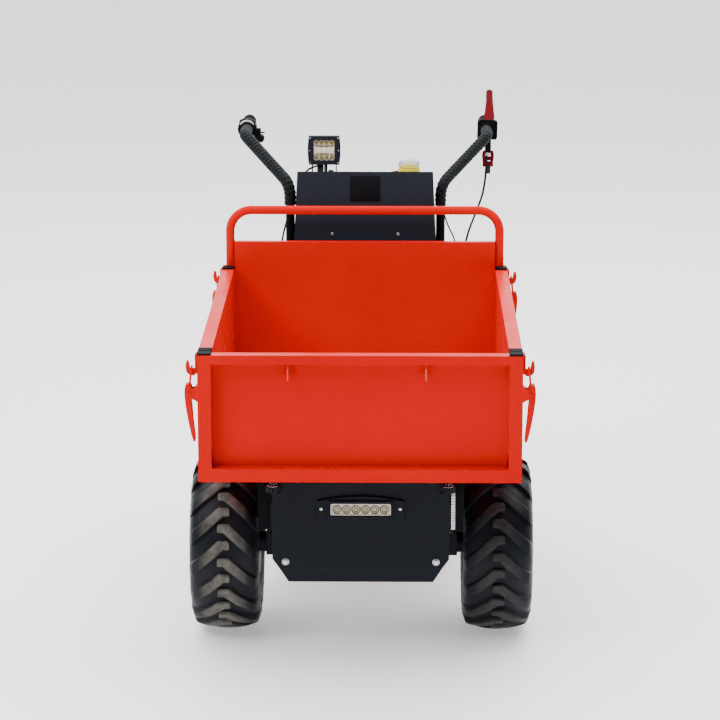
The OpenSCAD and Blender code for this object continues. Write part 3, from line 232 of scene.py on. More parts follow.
def tread_dust_and_side_light(t, coords, col):
    """Dusty lug tops: the farther from the axle, the more of it; with painted light, much more of it on the
    left wheel.
    """
    from_axle = vector_node(t, "SUBTRACT", coords, (0.0, wheel_y, wheel_z))
    length = vector_node(t, "LENGTH", vector_node(t, "MULTIPLY", from_axle, (0.0, 1.0, 1.0)), None, "Value")
    near = ramp(t, math_node(t, "DIVIDE", length, wheel_r), ((0.955, 0.0), (0.975, 1.0)))
    patchy = ramp(t, noise(t, coords, 45.0, 5.0, 0.65), ((0.3, 0.35), (0.62, 1.0)))
    across = t.nodes.new("ShaderNodeSeparateXYZ")
    t.links.new(coords, across.inputs[0])
    x = across.outputs["X"]
    off = math_node(t, "ABSOLUTE", math_node(t, "SUBTRACT", math_node(t, "ABSOLUTE", x), wheel_x))
    inward = ramp(t, math_node(t, "DIVIDE", off, wheel_r), ((0.10, 1.0), (0.30, 0.15)))
    # painted light: the left wheel's lug tops are lightened far more than the right's, as if lit from the
    # left
    side = ramp(t, math_node(t, "ADD", x, 0.5), ((0.45, 1.0), (0.55, 0.22)))
    amount = math_node(t, "MULTIPLY", math_node(t, "MULTIPLY", near, patchy),
                       math_node(t, "MULTIPLY", inward, side))
    return mix(t, amount, col, (0.118, 0.112, 0.098))


slots = {
    "red_paint": finish_of(
        "red_paint", (0.60, 0.0025, 0.0020), (0.53, 0.0020, 0.0015), (0.24, 0.34), spec=0.022,
        blotch=(3.0, 0.5), grain=(420.0, 0.04, 0.00010), edge=(0.80, 0.05, 0.035), edge_r=0.0014),
    "black_paint": finish_of(
        "black_paint", (0.0105, 0.0140, 0.0225), (0.0085, 0.0115, 0.019), (0.36, 0.48), spec=0.10,
        grain=(1100.0, 0.25, 0.0003), edge=(0.055, 0.06, 0.07)),
    "zinc": finish_of(
        "zinc", (0.62, 0.63, 0.64), (0.46, 0.47, 0.48), (0.26, 0.42), metal=1.0,
        blotch=(40.0, 0.5), grain=(700.0, 0.2, 0.0003), edge=(0.8, 0.8, 0.8), edge_r=0.0006),
    "rubber": finish_of(
        "rubber", (0.0070, 0.0080, 0.0105), None, (0.50, 0.68), spec=0.14,
        grain=(1400.0, 0.3, 0.0005), edge=(0.025, 0.026, 0.030), edge_r=0.0008),
    "tyre": finish_of(
        "tyre", (0.0058, 0.0078, 0.0122), (0.004, 0.0056, 0.0085), (0.36, 0.58), spec=0.15,
        blotch=(14.0, 0.4), grain=(900.0, 0.3, 0.0006), edge=(0.05, 0.05, 0.05), extra=tread_dust_and_side_light),
    "dark_plastic": finish_of(
        "dark_plastic", (0.014, 0.016, 0.020), None, (0.38, 0.5), spec=0.25,
        grain=(1600.0, 0.2, 0.0004), edge=(0.06, 0.062, 0.066), edge_r=0.0008),
    "battery_case": finish_of("battery_case", (0.05, 0.052, 0.058), None, (0.5, 0.6)),
    "reflector": finish_of(
        "reflector", (0.72, 0.72, 0.66), (0.52, 0.51, 0.44), (0.22, 0.34), spec=0.4,
        blotch=(90.0, 0.4), grain=(600.0, 0.1, 0.0001), edge=(0.9, 0.9, 0.85), edge_r=0.0004),
    "led": finish_of(
        "led", (0.72, 0.66, 0.34), (0.42, 0.40, 0.20), (0.2, 0.3),
        blotch=(260.0, 0.4), grain=(900.0, 0.2, 0.0002), edge_r=0.0003),
    "beacon_yellow": finish_of(
        "beacon_yellow", (0.66, 0.58, 0.0), (0.58, 0.50, 0.0), (0.24, 0.34), spec=0.2,
        blotch=(60.0, 0.4), grain=(500.0, 0.1, 0.0002), edge_r=0.0006),
    "red_plastic": finish_of(
        "red_plastic", (0.140, 0.0030, 0.008), (0.110, 0.002, 0.006), (0.26, 0.38), spec=0.03,
        grain=(900.0, 0.1, 0.0003), edge=(0.7, 0.12, 0.15), edge_r=0.0008),
    "steel": finish_of(
        "steel", (0.55, 0.56, 0.57), (0.42, 0.43, 0.44), (0.18, 0.3), metal=1.0,
        stretch=(1.0, 1.0, 12.0), blotch=(30.0, 0.5), grain=(500.0, 0.2, 0.0002), edge_r=0.0005),
    "clear_dome": finish_of(
        "clear_dome", (0.20, 0.21, 0.26), (0.16, 0.17, 0.21), (0.06, 0.12), spec=0.25,
        blotch=(40.0, 0.5), grain=(300.0, 0.0, 0.0002), edge_r=0.0004, uniform=(("Alpha", 0.17),)),
}

# finishes of single parts that differ a little from their slot's
# painted light: the beacon insert's yellow with a faint glow that brightens it
BEACON_GLOW = finish_of(
    "beacon_insert_glow", (0.78, 0.66, 0.0), (0.70, 0.58, 0.0), (0.24, 0.34), spec=0.2,
    blotch=(60.0, 0.4), grain=(500.0, 0.1, 0.0002), edge_r=0.0006,
    uniform=(("Emission Color", (1.0, 0.84, 0.02, 1.0)), ("Emission Strength", 0.12)))
WOVEN = finish_of(
    "woven_sleeve", (0.0110, 0.0140, 0.0165), (0.0022, 0.0030, 0.0040), (0.50, 0.66), spec=0.08,
    blotch=(230.0, 0.16), grain=(1500.0, 0.3, 0.0005), edge_r=0.0006)
# painted shade: a darker copy of the black paint for the guard plate and light bar, in the shade under the
# bed
GUARD_SHADED = finish_of(
    "guard_paint_shaded", (0.0066, 0.0086, 0.0132), (0.0056, 0.0074, 0.0115), (0.38, 0.50), spec=0.08,
    grain=(1100.0, 0.25, 0.0003), edge=(0.05, 0.055, 0.065))
# painted light: a lighter copy of the black paint for the cabinet, standing in for light on its front
CABINET_LIGHTENED = finish_of(
    "cabinet_paint_lightened", (0.0170, 0.0235, 0.0340), (0.0150, 0.0205, 0.0300), (0.38, 0.50), spec=0.08,
    grain=(1100.0, 0.25, 0.0003), edge=(0.06, 0.065, 0.075))
PLATE = finish_of(
    "plate_film", (0.0060, 0.0075, 0.0095), None, (0.40, 0.50), spec=0.05, grain=(900.0, 0.2, 0.0002))
BOWL = finish_of(
    "lamp_bowl", (0.21, 0.20, 0.050), (0.10, 0.10, 0.030), (0.22, 0.34), spec=0.4,
    blotch=(200.0, 0.5), grain=(800.0, 0.1, 0.0001))
BAR_BOWL = finish_of(
    "bar_bowl", (0.150, 0.150, 0.110), (0.085, 0.085, 0.065), (0.22, 0.34), spec=0.4,
    blotch=(200.0, 0.5), grain=(800.0, 0.1, 0.0001))
HANDLE = finish_of(
    "handle_rubber", (0.0038, 0.0048, 0.0060), None, (0.60, 0.75), spec=0.05,
    grain=(1500.0, 0.3, 0.0005), edge_r=0.0006)
# painted highlight: a light red for thin rods along the gate tabs' front edges
TAB_HIGHLIGHT = finish_of(
    "painted_tab_highlight", (0.80, 0.11, 0.09), (0.72, 0.05, 0.04), (0.3, 0.4), spec=0.2,
    grain=(420.0, 0.1, 0.0002))
# a light table: the floor's paper is lit from behind as well
PAPER = finish_of(
    "floor", (0.93, 0.93, 0.93), (0.91, 0.91, 0.91), (0.5, 0.6), blotch=(0.6, 0.6),
    grain=(60.0, 0.02, 0.0002),
    uniform=(("Emission Color", (1.0, 1.0, 1.0, 1.0)), ("Emission Strength", 0.40)))

special = {"guard_plate": GUARD_SHADED, "light_bar": GUARD_SHADED, "cabinet": CABINET_LIGHTENED}
for node in ("grips", "throttle", "brake_perch", "handlebars", "gate_caps", "side_caps_left",
             "side_caps_right"):
    special[node] = HANDLE

for part in frame["record"]["subparts"]:
    obj = nodes[part["node"]]
    obj.data.materials.clear()
    obj.data.materials.append(special.get(part["node"]) or slots[part["material_slot"]])


# ---------------------------------------------------------------- mesh building
class Shape:
    """Gathers solids in millimetres and makes one piece of them."""

    def __init__(self):
        self.bm = bmesh.new()

    def grid(self, rows):
        """Quads between closed rows of points, with a cap on the first and the last."""
        made = [[self.bm.verts.new(p) for p in row] for row in rows]
        n = len(made[0])
        for a, b in zip(made, made[1:]):
            for k in range(n):
                j = (k + 1) % n
                self.bm.faces.new((a[k], a[j], b[j], b[k]))
        self.bm.faces.new(made[0][::-1])
        self.bm.faces.new(made[-1])

    def lathe(self, origin, axis, profile, n):
        """Turns (radius, distance along axis) pairs about the axis; the ends may be on it."""
        axis = Vector(axis).normalized()
        side = axis.orthogonal().normalized()
        other = axis.cross(side)
        rows = []
        for r, along in profile:
            mid = Vector(origin) + axis * along
            if r == 0:
                rows.append([self.bm.verts.new(mid)])
                continue
            turns = [2 * math.pi * k / n for k in range(n)]
            rows.append([self.bm.verts.new(mid + (side * math.cos(a) + other * math.sin(a)) * r)
                         for a in turns])
        for a, b in zip(rows, rows[1:]):
            if len(a) == len(b) == 1:
                continue
            for k in range(n):
                j = (k + 1) % n
                if len(a) == 1:
                    self.bm.faces.new((a[0], b[j], b[k]))
                elif len(b) == 1:
                    self.bm.faces.new((a[k], a[j], b[0]))
                else:
                    self.bm.faces.new((a[k], a[j], b[j], b[k]))

    def rod(self, a, b, r, n, chamfer=0.6):
        """A round bar from a to b with chamfered ends."""
        d = Vector(b) - Vector(a)
        c = min(chamfer, r * 0.4, d.length * 0.3)
        self.lathe(a, d, [(0, 0.0), (r - c, 0.0), (r, c), (r, d.length - c), (r - c, d.length),
                          (0, d.length)], n)

    def bevel(self, verts, width):
        """Rounds every edge at these vertices."""
        edges = list(dict.fromkeys(e for v in verts for e in v.link_edges))
        bmesh.ops.bevel(self.bm, geom=edges, offset=width, segments=2, affect="EDGES", profile=0.5)

    def box(self, low, high, bevel):
        """A block between two corners, with bevelled edges."""
        verts = bmesh.ops.create_cube(self.bm, size=1.0)["verts"]
        low, high = Vector(low), Vector(high)
        size = high - low
        for v in verts:
            v.co = Vector((v.co.x * size.x, v.co.y * size.y, v.co.z * size.z)) + (low + high) / 2
        self.bevel(verts, bevel)

    def plate(self, outline, y0, y1, bevel):
        """A flat plate: an (x, z) outline from y0 to y1, with bevelled edges."""
        front = [self.bm.verts.new((x, y0, z)) for x, z in outline]
        face = self.bm.faces.new(front)
        made = bmesh.ops.extrude_face_region(self.bm, geom=[face])["geom"]
        back = [v for v in made if isinstance(v, bmesh.types.BMVert)]
        bmesh.ops.translate(self.bm, verts=back, vec=(0, y1 - y0, 0))
        self.bevel(back + front, bevel)

    def bolt(self, at, axis, size, washer=True):
        """A hexagon head with a washer; size is the thread's diameter."""
        d = Vector(axis).normalized()
        at = Vector(at)
        if washer:
            self.lathe(at, d, [(0, 0.0), (size * 1.15, 0.0), (size * 1.15, size * 0.22),
                               (size * 0.95, size * 0.3), (0, size * 0.3)], 28)
            at = at + d * size * 0.3
        across = size * 0.92
        self.lathe(at, d, [(0, 0.0), (across, 0.0), (across, size * 0.5),
                           (across * 0.82, size * 0.68), (0, size * 0.68)], 6)

    def screw(self, at, axis, r):
        """A domed screw head with a socket."""
        self.lathe(at, axis, [(0, 0.0), (r, 0.0), (r, r * 0.25), (r * 0.8, r * 0.6),
                              (r * 0.5, r * 0.72), (r * 0.42, r * 0.72), (r * 0.40, r * 0.35),
                              (0, r * 0.30)], 24)

    def tube(self, points, radius, n):
        """A swept round tube; radius is a number or a function of (distance, angle)."""
        pts = [Vector(p) for p in points]
        last = len(pts) - 1
        tangents = [(pts[min(i + 1, last)] - pts[max(i - 1, 0)]).normalized() for i in range(last + 1)]
        side = tangents[0].orthogonal().normalized()
        rows, run = [], 0.0
        for i, p in enumerate(pts):
            if i:
                run += (p - pts[i - 1]).length
                side = (side - tangents[i] * side.dot(tangents[i])).normalized()
            other = tangents[i].cross(side)
            row = []
            for k in range(n):
                a = 2 * math.pi * k / n
                r = radius(run, a) if callable(radius) else radius
                row.append(p + (side * math.cos(a) + other * math.sin(a)) * r)
            rows.append(row)
        self.grid(rows)

    def bead(self, points, r):
        """A weld bead: a thin tube with ripples."""
        path = []
        for a, b in zip(points, points[1:]):
            n = max(2, int((Vector(b) - Vector(a)).length / 1.2))
            path += [Vector(a).lerp(Vector(b), k / n) for k in range(n)]
        path.append(Vector(points[-1]))
        self.tube(path, lambda run, a: r * (1 + 0.16 * math.sin(run * 1.9)), 8)

    def weld_doubles(self, distance):
        bmesh.ops.remove_doubles(self.bm, verts=self.bm.verts, dist=distance)

    def piece(self, name, slot, body, replaces=(), angle=32.0, finish=None):
        """Makes the object; edges sharper than angle stay sharp."""
        mesh = bpy.data.meshes.new(name)
        bmesh.ops.recalc_face_normals(self.bm, faces=self.bm.faces)
        self.bm.transform(TO_FRAME)
        self.bm.to_mesh(mesh)
        self.bm.free()
        mesh.shade_smooth()
        mesh.set_sharp_from_angle(angle=math.radians(angle))
        mesh.materials.append(finish or slots[slot])
        obj = new_object(name, mesh)
        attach(obj, body)
        if replaces:
            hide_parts(*replaces)


def smooth_path(points, steps):
    """Catmull-Rom curve through points."""
    p = [Vector(q) for q in points]
    out = []
    for i in range(len(p) - 1):
        a, b, c, d = p[max(i - 1, 0)], p[i], p[i + 1], p[min(i + 2, len(p) - 1)]
        for k in range(steps):
            t = k / steps
            out.append(0.5 * (2 * b + (c - a) * t + (2 * a - 5 * b + 4 * c - d) * t * t
                              + (3 * b - a - 3 * c + d) * t ** 3))
    return out + [p[-1]]


def filleted(points, bend, step):
    """Straights and arcs of radius bend through corner points, sampled about every step."""
    p = [Vector(q) for q in points]
    out = [p[0]]

    def run_to(q):
        a = out[-1]
        n = max(1, int((q - a).length / step))
        for k in range(1, n + 1):
            out.append(a.lerp(q, k / n))

    for i in range(1, len(p) - 1):
        u = (p[i] - p[i - 1]).normalized()
        v = (p[i + 1] - p[i]).normalized()
        turn = u.angle(v)
        start = p[i] - u * (bend * math.tan(turn / 2))
        run_to(start)
        normal = (v - u * u.dot(v)).normalized()
        centre = start + normal * bend
        n = max(4, int(bend * turn / step))
        for k in range(1, n + 1):
            a = turn * k / n
            out.append(centre - normal * bend * math.cos(a) + u * bend * math.sin(a))
    run_to(p[-1])
    return out


def mirrored(profile):
    """A (radius, x) profile from (x, radius) pairs for its +x half, ending at x = 0."""
    return [(r, x) for x, r in profile] + [(r, -x) for x, r in profile[-2::-1]]


def in_wheel(degrees):
    """Unit vector in a wheel's plane, at an angle from straight up."""
    a = math.radians(degrees)
    return Vector((0.0, math.sin(a), math.cos(a)))


# ---------------------------------------------------------------- floor
FLOOR = 60000.0
mesh = bpy.data.meshes.new("floor")
mesh.from_pydata([TO_FRAME @ Vector((x, y, 0.0)) for x, y in
                  ((-FLOOR, -FLOOR), (FLOOR, -FLOOR), (FLOOR, FLOOR), (-FLOOR, FLOOR))],
                 [], [(0, 1, 2, 3)])
mesh.materials.append(PAPER)
new_object("floor", mesh)

# ---------------------------------------------------------------- drive tyres
t_low, t_high = mm_box("tyre_right")
TYRE_W = t_high.x - t_low.x
TYRE_R = (t_high.y - t_low.y) / 2
RIM_R = 101.5
AXLE = Vector(((t_low.x + t_high.x) / 2, (t_low.y + t_high.y) / 2, TYRE_R))
SHOULDER = TYRE_W / 2 - 9
LUGS = 16
LUG_STEP = 22.5
LUG_FLARE = 2.6
# half the carcass from its bead to the crown, and the side that meets the rim
CARCASS = [(64.0, RIM_R + 1.0), (66.5, RIM_R + 11.6), (70.0, RIM_R + 14.0), (74.0, RIM_R + 19.0),
           (77.0, RIM_R + 26.0), (79.3, RIM_R + 34.0), (80.6, RIM_R + 44.0), (80.4, RIM_R + 54.0),
           (78.6, RIM_R + 64.0), (75.6, RIM_R + 71.0), (71.0, RIM_R + 77.0), (64.0, RIM_R + 82.0),
           (54.0, RIM_R + 86.0), (40.0, RIM_R + 89.0), (22.0, RIM_R + 90.8), (0.0, RIM_R + 91.3)]
RIM_SIDE = [(-58.0, RIM_R + 1.0), (-50.0, RIM_R + 8.0), (50.0, RIM_R + 8.0), (58.0, RIM_R + 1.0)]


def crown_drop(x):
    return 13.0 * (abs(x) / SHOULDER) ** 2.2


def lug_section(x):
    """A lug's outline at x from the tyre's middle: (distance round the tread, radius) pairs."""
    up = 0.0 if x < 12 else (x - 12) * 53 / 58
    low = 20.0 if x < 0 else 20 + x * 66 / 70
    if x < -7:
        turn_in = 7 - math.sqrt(max(0.0, 49 - (x + 7) ** 2))
        up, low = up + turn_in, low - turn_in * 0.35
    if x > 76:
        up, low = up + (x - 76), low - (x - 76)
    top = TYRE_R - crown_drop(x) - max(0.0, x - SHOULDER) * 2.6
    root = top - (17.0 if x < SHOULDER else 16.0)
    return [(up - LUG_FLARE, root), (up, top - 2.0), (up + 1.6, top - 0.3), (up + 3.6, top),
            ((up + low) / 2, top), (low - 3.6, top), (low - 1.6, top - 0.3), (low, top - 2.0),
            (low + LUG_FLARE, root)]


LUG = [(x, lug_section(x)) for x in (-14.0, -13.4, -12.0, -10.0, -7.0, 0.0, 6.0, 12.0, 20.0, 30.0,
                                     40.0, 50.0, 60.0, 68.0, 73.0, 77.0, 80.0)]


def tyre_piece(side, body, parked, node):
    """A drive tyre with two rows of lugs; parked is how far the wheel is turned, in degrees."""
    s = Shape()
    centre = (AXLE.x * side, AXLE.y, AXLE.z)
    profile = mirrored(CARCASS) + [(r, x) for x, r in RIM_SIDE]
    s.lathe(centre, (1, 0, 0), profile + [profile[0]], 144)
    # moulded rings on the sidewalls
    for way in (1, -1):
        for x, r in ((77.6, RIM_R + 27.5), (80.9, RIM_R + 45.0)):
            ring = [(r - 1.2, 0.0), (r - 0.4, 0.9), (r + 0.4, 0.9), (r + 1.2, 0.0), (r, -1.2),
                    (r - 1.2, 0.0)]
            s.lathe((AXLE.x * side + way * (x - 0.9), AXLE.y, AXLE.z), (way, 0, 0), ring, 96)
    s.weld_doubles(0.01)
    for i in range(LUGS):
        for flip in (1, -1):
            turn = math.radians((i + (0.5 if flip < 0 else 0.0)) * LUG_STEP + parked)
            spin = Matrix.Rotation(turn, 3, "X")
            flips = flip * side
            rows = []
            for x, section in LUG:
                row = []
                for run, r in section:
                    a = run / TYRE_R
                    p = spin @ Vector((x, r * math.sin(a), -r * math.cos(a)))
                    row.append(Vector((p.x * flips + AXLE.x * side, p.y + AXLE.y, p.z + AXLE.z)))
                rows.append(row)
            s.grid(rows)
    # small bars between the lugs on the sidewalls' edges
    for i in range(2 * LUGS):
        a = math.radians(i * LUG_STEP / 2 + parked)
        d = Vector((0.0, math.sin(a), -math.cos(a)))
        for way in (1, -1):
            mid = Vector((AXLE.x * side + way * (TYRE_W / 2 - 1.4), AXLE.y, AXLE.z))
            s.rod(mid + d * (RIM_R + 36), mid + d * (RIM_R + 52), 1.6, 8)
    s.piece("drive_" + node, "tyre", body, (node,), angle=40.0)


tyre_piece(1, "wheel_right", 12.8, "tyre_right")
tyre_piece(-1, "wheel_left", 5.8, "tyre_left")

# wheel nuts on their studs, hub caps and valves
NUT_CIRCLE = 46
NUT_SEAT = AXLE.x + 40.2
HUB_SEAT = AXLE.x + 27.2
VALVE_CIRCLE = 84
for side, name in ((1, "right"), (-1, "left")):
    s = Shape()
    for i in range(5):
        at = Vector((NUT_SEAT * side, AXLE.y, AXLE.z)) + in_wheel(72 * i) * NUT_CIRCLE
        s.bolt(at, (side, 0, 0), 7.5)
        s.rod(at + Vector((7 * side, 0, 0)), at + Vector((11 * side, 0, 0)), 4.5, 16)
    s.bolt((HUB_SEAT * side, AXLE.y, AXLE.z), (side, 0, 0), 12.0)
    s.piece("wheel_nuts_" + name, "zinc", "wheel_" + name)
    s = Shape()
    foot = Vector(((AXLE.x + 24) * side, AXLE.y, AXLE.z)) + in_wheel(54) * VALVE_CIRCLE
    s.rod(foot, foot + Vector((16 * side, 0, 0)), 3.6, 16)
    s.rod(foot + Vector((12 * side, 0, 0)), foot + Vector((26 * side, 0, 0)), 2.6, 16)
    s.piece("tyre_valve_" + name, "rubber", "wheel_" + name)

# ---------------------------------------------------------------- casters
c_low, c_high = mm_box("caster_tyre_right")
CASTER = (c_low + c_high) / 2
CASTER_R = (c_high.z - c_low.z) / 2
CASTER_TRAIL = 40
FORK_FACE = 49.2
HEAD_UNDERSIDE = 293.8
CASTER_TREAD = [(24.0, 62.4), (33.0, 72.0), (35.5, 82.0), (36.0, 89.0), (34.6, 96.0), (31.0, 105.0),
                (27.0, 110.5), (20.0, 113.2), (12.5, 114.4), (11.6, 111.4), (8.6, 111.4), (7.7, 114.7),
                (0.0, 115.0)]
for side, name in ((1, "right"), (-1, "left")):
    s = Shape()
    profile = mirrored(CASTER_TREAD)
    s.lathe((CASTER.x * side, CASTER.y, CASTER_R), (1, 0, 0), profile + [profile[0]], 96)
    for i in range(48):
        d = in_wheel(7.5 * i)
        for way in (1, -1):
            mid = Vector(((CASTER.x + way * 26.5) * side, CASTER.y, CASTER_R))
            s.rod(mid + d * 103, mid + d * 110.4 - Vector((way * 2.5 * side, 0, 0)), 1.8, 8, 0.5)
    s.weld_doubles(0.01)
    s.piece("caster_tread_" + name, "rubber", "caster_wheel_" + name, ("caster_tyre_" + name,))
    s = Shape()
    for way in (1, -1):
        s.bolt((CASTER.x * side + way * FORK_FACE, CASTER.y, CASTER_R), (way, 0, 0), 11.0)
    s.piece("caster_nuts_" + name, "zinc", "caster_" + name)
    s = Shape()
    for dx in (-34, 34):
        for dy in (-38, 38):
            s.bolt((CASTER.x * side + dx, CASTER.y - CASTER_TRAIL + dy, HEAD_UNDERSIDE), (0, 0, -1), 8.0)
    s.piece("caster_head_bolts_" + name, "zinc", "chassis")

# ---------------------------------------------------------------- handlebar sleeves
BAR_X, BAR_Y = 193.5, 1120
GRIP_X, GRIP_Z = 318, 1025.0
BAR = [(BAR_X, BAR_Y, 362), (BAR_X, BAR_Y, 925), (GRIP_X, 1300, GRIP_Z), (GRIP_X, 1556, GRIP_Z)]
BAR_BEND = 50.0
SLEEVE_Z = 872.0
SLEEVE_END = 1402


def sleeve_path(side):
    points = filleted([(x * side, y, z) for x, y, z in BAR], BAR_BEND, 1.1)
    return [p for p in points if p.z >= SLEEVE_Z + 0.2 and p.y <= SLEEVE_END]


def ringed(run, a):
    """Radius of a corrugated sleeve: a groove every 12.5 mm."""
    t = (run / 12.5) % 1.0
    return 15.7 - 2.3 * max(0.0, 1.0 - min(t, 1.0 - t) / 0.24) ** 1.4


def wrapped(run, a):
    """Radius of a plaited sleeve: two crossing sets of strands, 13 mm from one to the next."""
    t = (run / 13.0 - 2.0 * a / math.pi) % 1.0
    u = (run / 13.0 + 2.0 * a / math.pi) % 1.0
    return 12.6 + 2.4 * (math.sin(math.pi * t) * math.sin(math.pi * u)) ** 0.42


s = Shape()
s.tube(sleeve_path(-1), ringed, 28)
s.tube(sleeve_path(1), wrapped, 64)
s.piece("wrapped_sleeves", "rubber", "chassis", ("sleeves",), angle=60.0, finish=WOVEN)

# ---------------------------------------------------------------- cables held at both ends
# each follows its route in part.scad
CABLES = {
    "brake": (6.0, [(320.5, 1406, 955), (319.6, 1405.6, 930), (318, 1404, 905), (315, 1398, 880),
                    (309, 1383, 853), (296, 1350, 823), (264, 1250, 757), (246, 1180, 650),
                    (236, 1130, 530), (230, 1080, 420), (227, 1010, 345), (226, 900, 318),
                    (226, 760, 310), (226, 620, 302), (227, 510, 282), (228, 450, 261),
                    (229, 414, 241), (233, 404, 235.5), (240.6, 403.6, 235)]),
    "left": (5.0, [(-196, 1134.8, 871), (-197.5, 1135, 850), (-203, 1132, 830), (-209, 1127, 808),
                   (-214, 1122, 785), (-222, 1117, 735), (-225, 1116, 640), (-223, 1118, 560),
                   (-219, 1122, 480), (-212, 1132, 415), (-208, 1138, 385), (-208, 1138, 362.3)]),
    "right": (4.0, [(199, 1134.5, 871), (203, 1134, 850), (209, 1131, 830), (219, 1125, 806),
                    (229, 1120, 785), (236, 1116, 735), (235, 1116, 660), (230, 1118, 570),
                    (223, 1122, 480), (212, 1132, 415), (208, 1138, 385), (208, 1138, 362.3)]),
    "lamp": (5.0, [(-106, 1119, 990.7), (-107, 1119, 984), (-120, 1119, 976), (-138, 1118, 970),
                   (-151, 1117, 961), (-152, 1117, 946.8)]),
}
for name, (diameter, route) in CABLES.items():
    s = Shape()
    s.tube(smooth_path(route, 8), diameter / 2, 14)
    s.piece("held_cable_" + name, "rubber", "chassis", ("cable_" + name,), angle=60.0)
# ferrules and boots at the cables' ends
s = Shape()
s.lathe((324, 1414, 927), (0, 0, -1),
        [(0, 0), (6.6, 0), (7.2, 3), (7.2, 17), (5.6, 21.5), (0, 22.5)], 24)
for x in (-208, 208):
    s.lathe((x, 1138, 362.3), (0, 0, 1),
            [(0, 0), (7, 0), (7, 3), (5.4, 6), (4.6, 16), (3.4, 26), (0, 26)], 24)
s.lathe((-152, 1117, 944.5), (-0.05, 0, 1),
        [(0, 0), (5.2, 0), (5.2, 3), (4.2, 8), (3.2, 12), (0, 12)], 20)
s.piece("cable_boots", "dark_plastic", "chassis")

# ---------------------------------------------------------------- front guard and light bar
GUARD_Y = 124.0
GUARD_BOLT_X = mm_box("guard_plate")[1].x - 30
LIGHT_Z = 354.0
LENS_Y = GUARD_Y - 12.0
s = Shape()
for side in (1, -1):
    s.bolt((side * GUARD_BOLT_X, GUARD_Y, 226.5), (0, -1, 0), 7.2)
s.piece("guard_bolts", "zinc", "chassis")
s = Shape()
for side in (1, -1):
    s.screw((side * 90, GUARD_Y - 5.1, LIGHT_Z), (0, -1, 0), 4.3)
s.piece("light_bar_screws", "zinc", "chassis")
# the optics: a bright panel in a raised frame, with six round bowls and their diodes
BAR_BOWL_X = [(i - 2.5) * 21.5 for i in range(6)]
s = Shape()
s.box((-68.8, LENS_Y + 2.0, LIGHT_Z - 13.8), (68.8, LENS_Y + 9.8, LIGHT_Z + 13.8), 0.5)
for side in (1, -1):
    x, z = side * 67.2, LIGHT_Z + side * 12.4
    s.box((-68.8, LENS_Y, z - 1.2), (68.8, LENS_Y + 3, z + 1.2), 0.4)
    s.box((x - 1.4, LENS_Y, LIGHT_Z - 13.6), (x + 1.4, LENS_Y + 3, LIGHT_Z + 13.6), 0.4)
s.piece("light_bar_optics", "reflector", "chassis", ("light_bar_lens",))
s = Shape()
for x in BAR_BOWL_X:
    s.lathe((x, LENS_Y + 2.1, LIGHT_Z), (0, -1, 0),
            [(0, 0.0), (10.4, 0.0), (10.4, 1.9), (9.8, 2.1), (9.0, 1.4), (5.6, 0.5), (0, 0.4)], 32)
s.piece("light_bar_bowls", "steel", "chassis", finish=BAR_BOWL)
s = Shape()
for x in BAR_BOWL_X:
    s.box((x - 2.6, LENS_Y + 0.9, LIGHT_Z - 2.6), (x + 2.6, LENS_Y + 3.4, LIGHT_Z + 2.6), 0.3)
    s.lathe((x, LENS_Y + 1.4, LIGHT_Z), (0, -1, 0),
            [(7.6, 0.0), (7.2, 0.5), (6.0, 0.1), (5.8, -0.8), (7.6, 0.0)], 28)
s.piece("light_bar_diodes", "led", "chassis")

# ---------------------------------------------------------------- buffers
BUFFER_X, BUFFER_Y = 198, 104
s = Shape()
for x in (BUFFER_X, -BUFFER_X):
    s.lathe((x, BUFFER_Y, 412), (0, 0, 1),
            [(0, 0), (13.0, 0), (13.0, 1.4), (12.2, 2.2), (0, 2.2)], 32)
    s.bolt((x, BUFFER_Y, 414.6), (0, 0, 1), 8.0, washer=False)
    s.rod((x, BUFFER_Y, 418), (x, BUFFER_Y, 424.5), 4.2, 16)
s.piece("buffer_nuts", "zinc", "chassis")

# ---------------------------------------------------------------- cabinet's front
k_low, k_high = mm_box("cabinet")
CAB_Y = k_low.y
CAB_TOP = k_high.z
CONSOLE_Y = CAB_Y + 12.0
LEAN_Z = 800.0
# above LEAN_Z the front leans back to the console's edge, and the blank plate with it
s = Shape()
s.plate([(-38.5, CAB_TOP - 76), (38.5, CAB_TOP - 76), (38.5, CAB_TOP - 11), (-38.5, CAB_TOP - 11)],
        -1.2, 0.6, 0.5)
for v in s.bm.verts:
    v.co.y += CAB_Y + (CONSOLE_Y - CAB_Y) * (v.co.z - LEAN_Z) / (CAB_TOP - LEAN_Z)
s.piece("blank_plate", "dark_plastic", "chassis", finish=PLATE)
s = Shape()
for x in (-84, 84):
    s.screw((x, CAB_Y - 0.1, 812), (0, -1, 0), 4.6)
s.piece("cabinet_screws", "zinc", "chassis")

# ---------------------------------------------------------------- work lamp
LAMP = Vector((-105.0, 1080.0, 1021.0))


def at_lamp(x, y, z):
    return (LAMP.x + x, LAMP.y + y, LAMP.z + z)


s = Shape()
for side in (-1, 1):
    for z in (-31.5, 0, 31.5):
        s.screw(at_lamp(side * (35.5 if z else 37.1), -0.1, z), (0, -1, 0), 1.7)
s.rod(at_lamp(-40.5, 26, 0), at_lamp(-38, 26, 0), 5.0, 6)
s.piece("work_lamp_screws", "zinc", "chassis")
LAMP_BOWLS = [(x, way) for x in (-19.8, -6.6, 6.6, 19.8) for way in (1, -1)]
s = Shape()
for x, way in LAMP_BOWLS:
    s.lathe(at_lamp(x, 5.1, way * 19.6), (0, -1, 0),
            [(5.7, 0.0), (6.5, 0.0), (6.5, 3.4), (6.1, 3.8), (5.7, 3.4), (5.7, 0.0)], 32)
    for side in (1, -1):
        edge = x + side * 6.1
        s.box(at_lamp(edge - 0.4, 1.6, way * 14 - 6), at_lamp(edge + 0.4, 5.1, way * 14 + 6), 0.2)
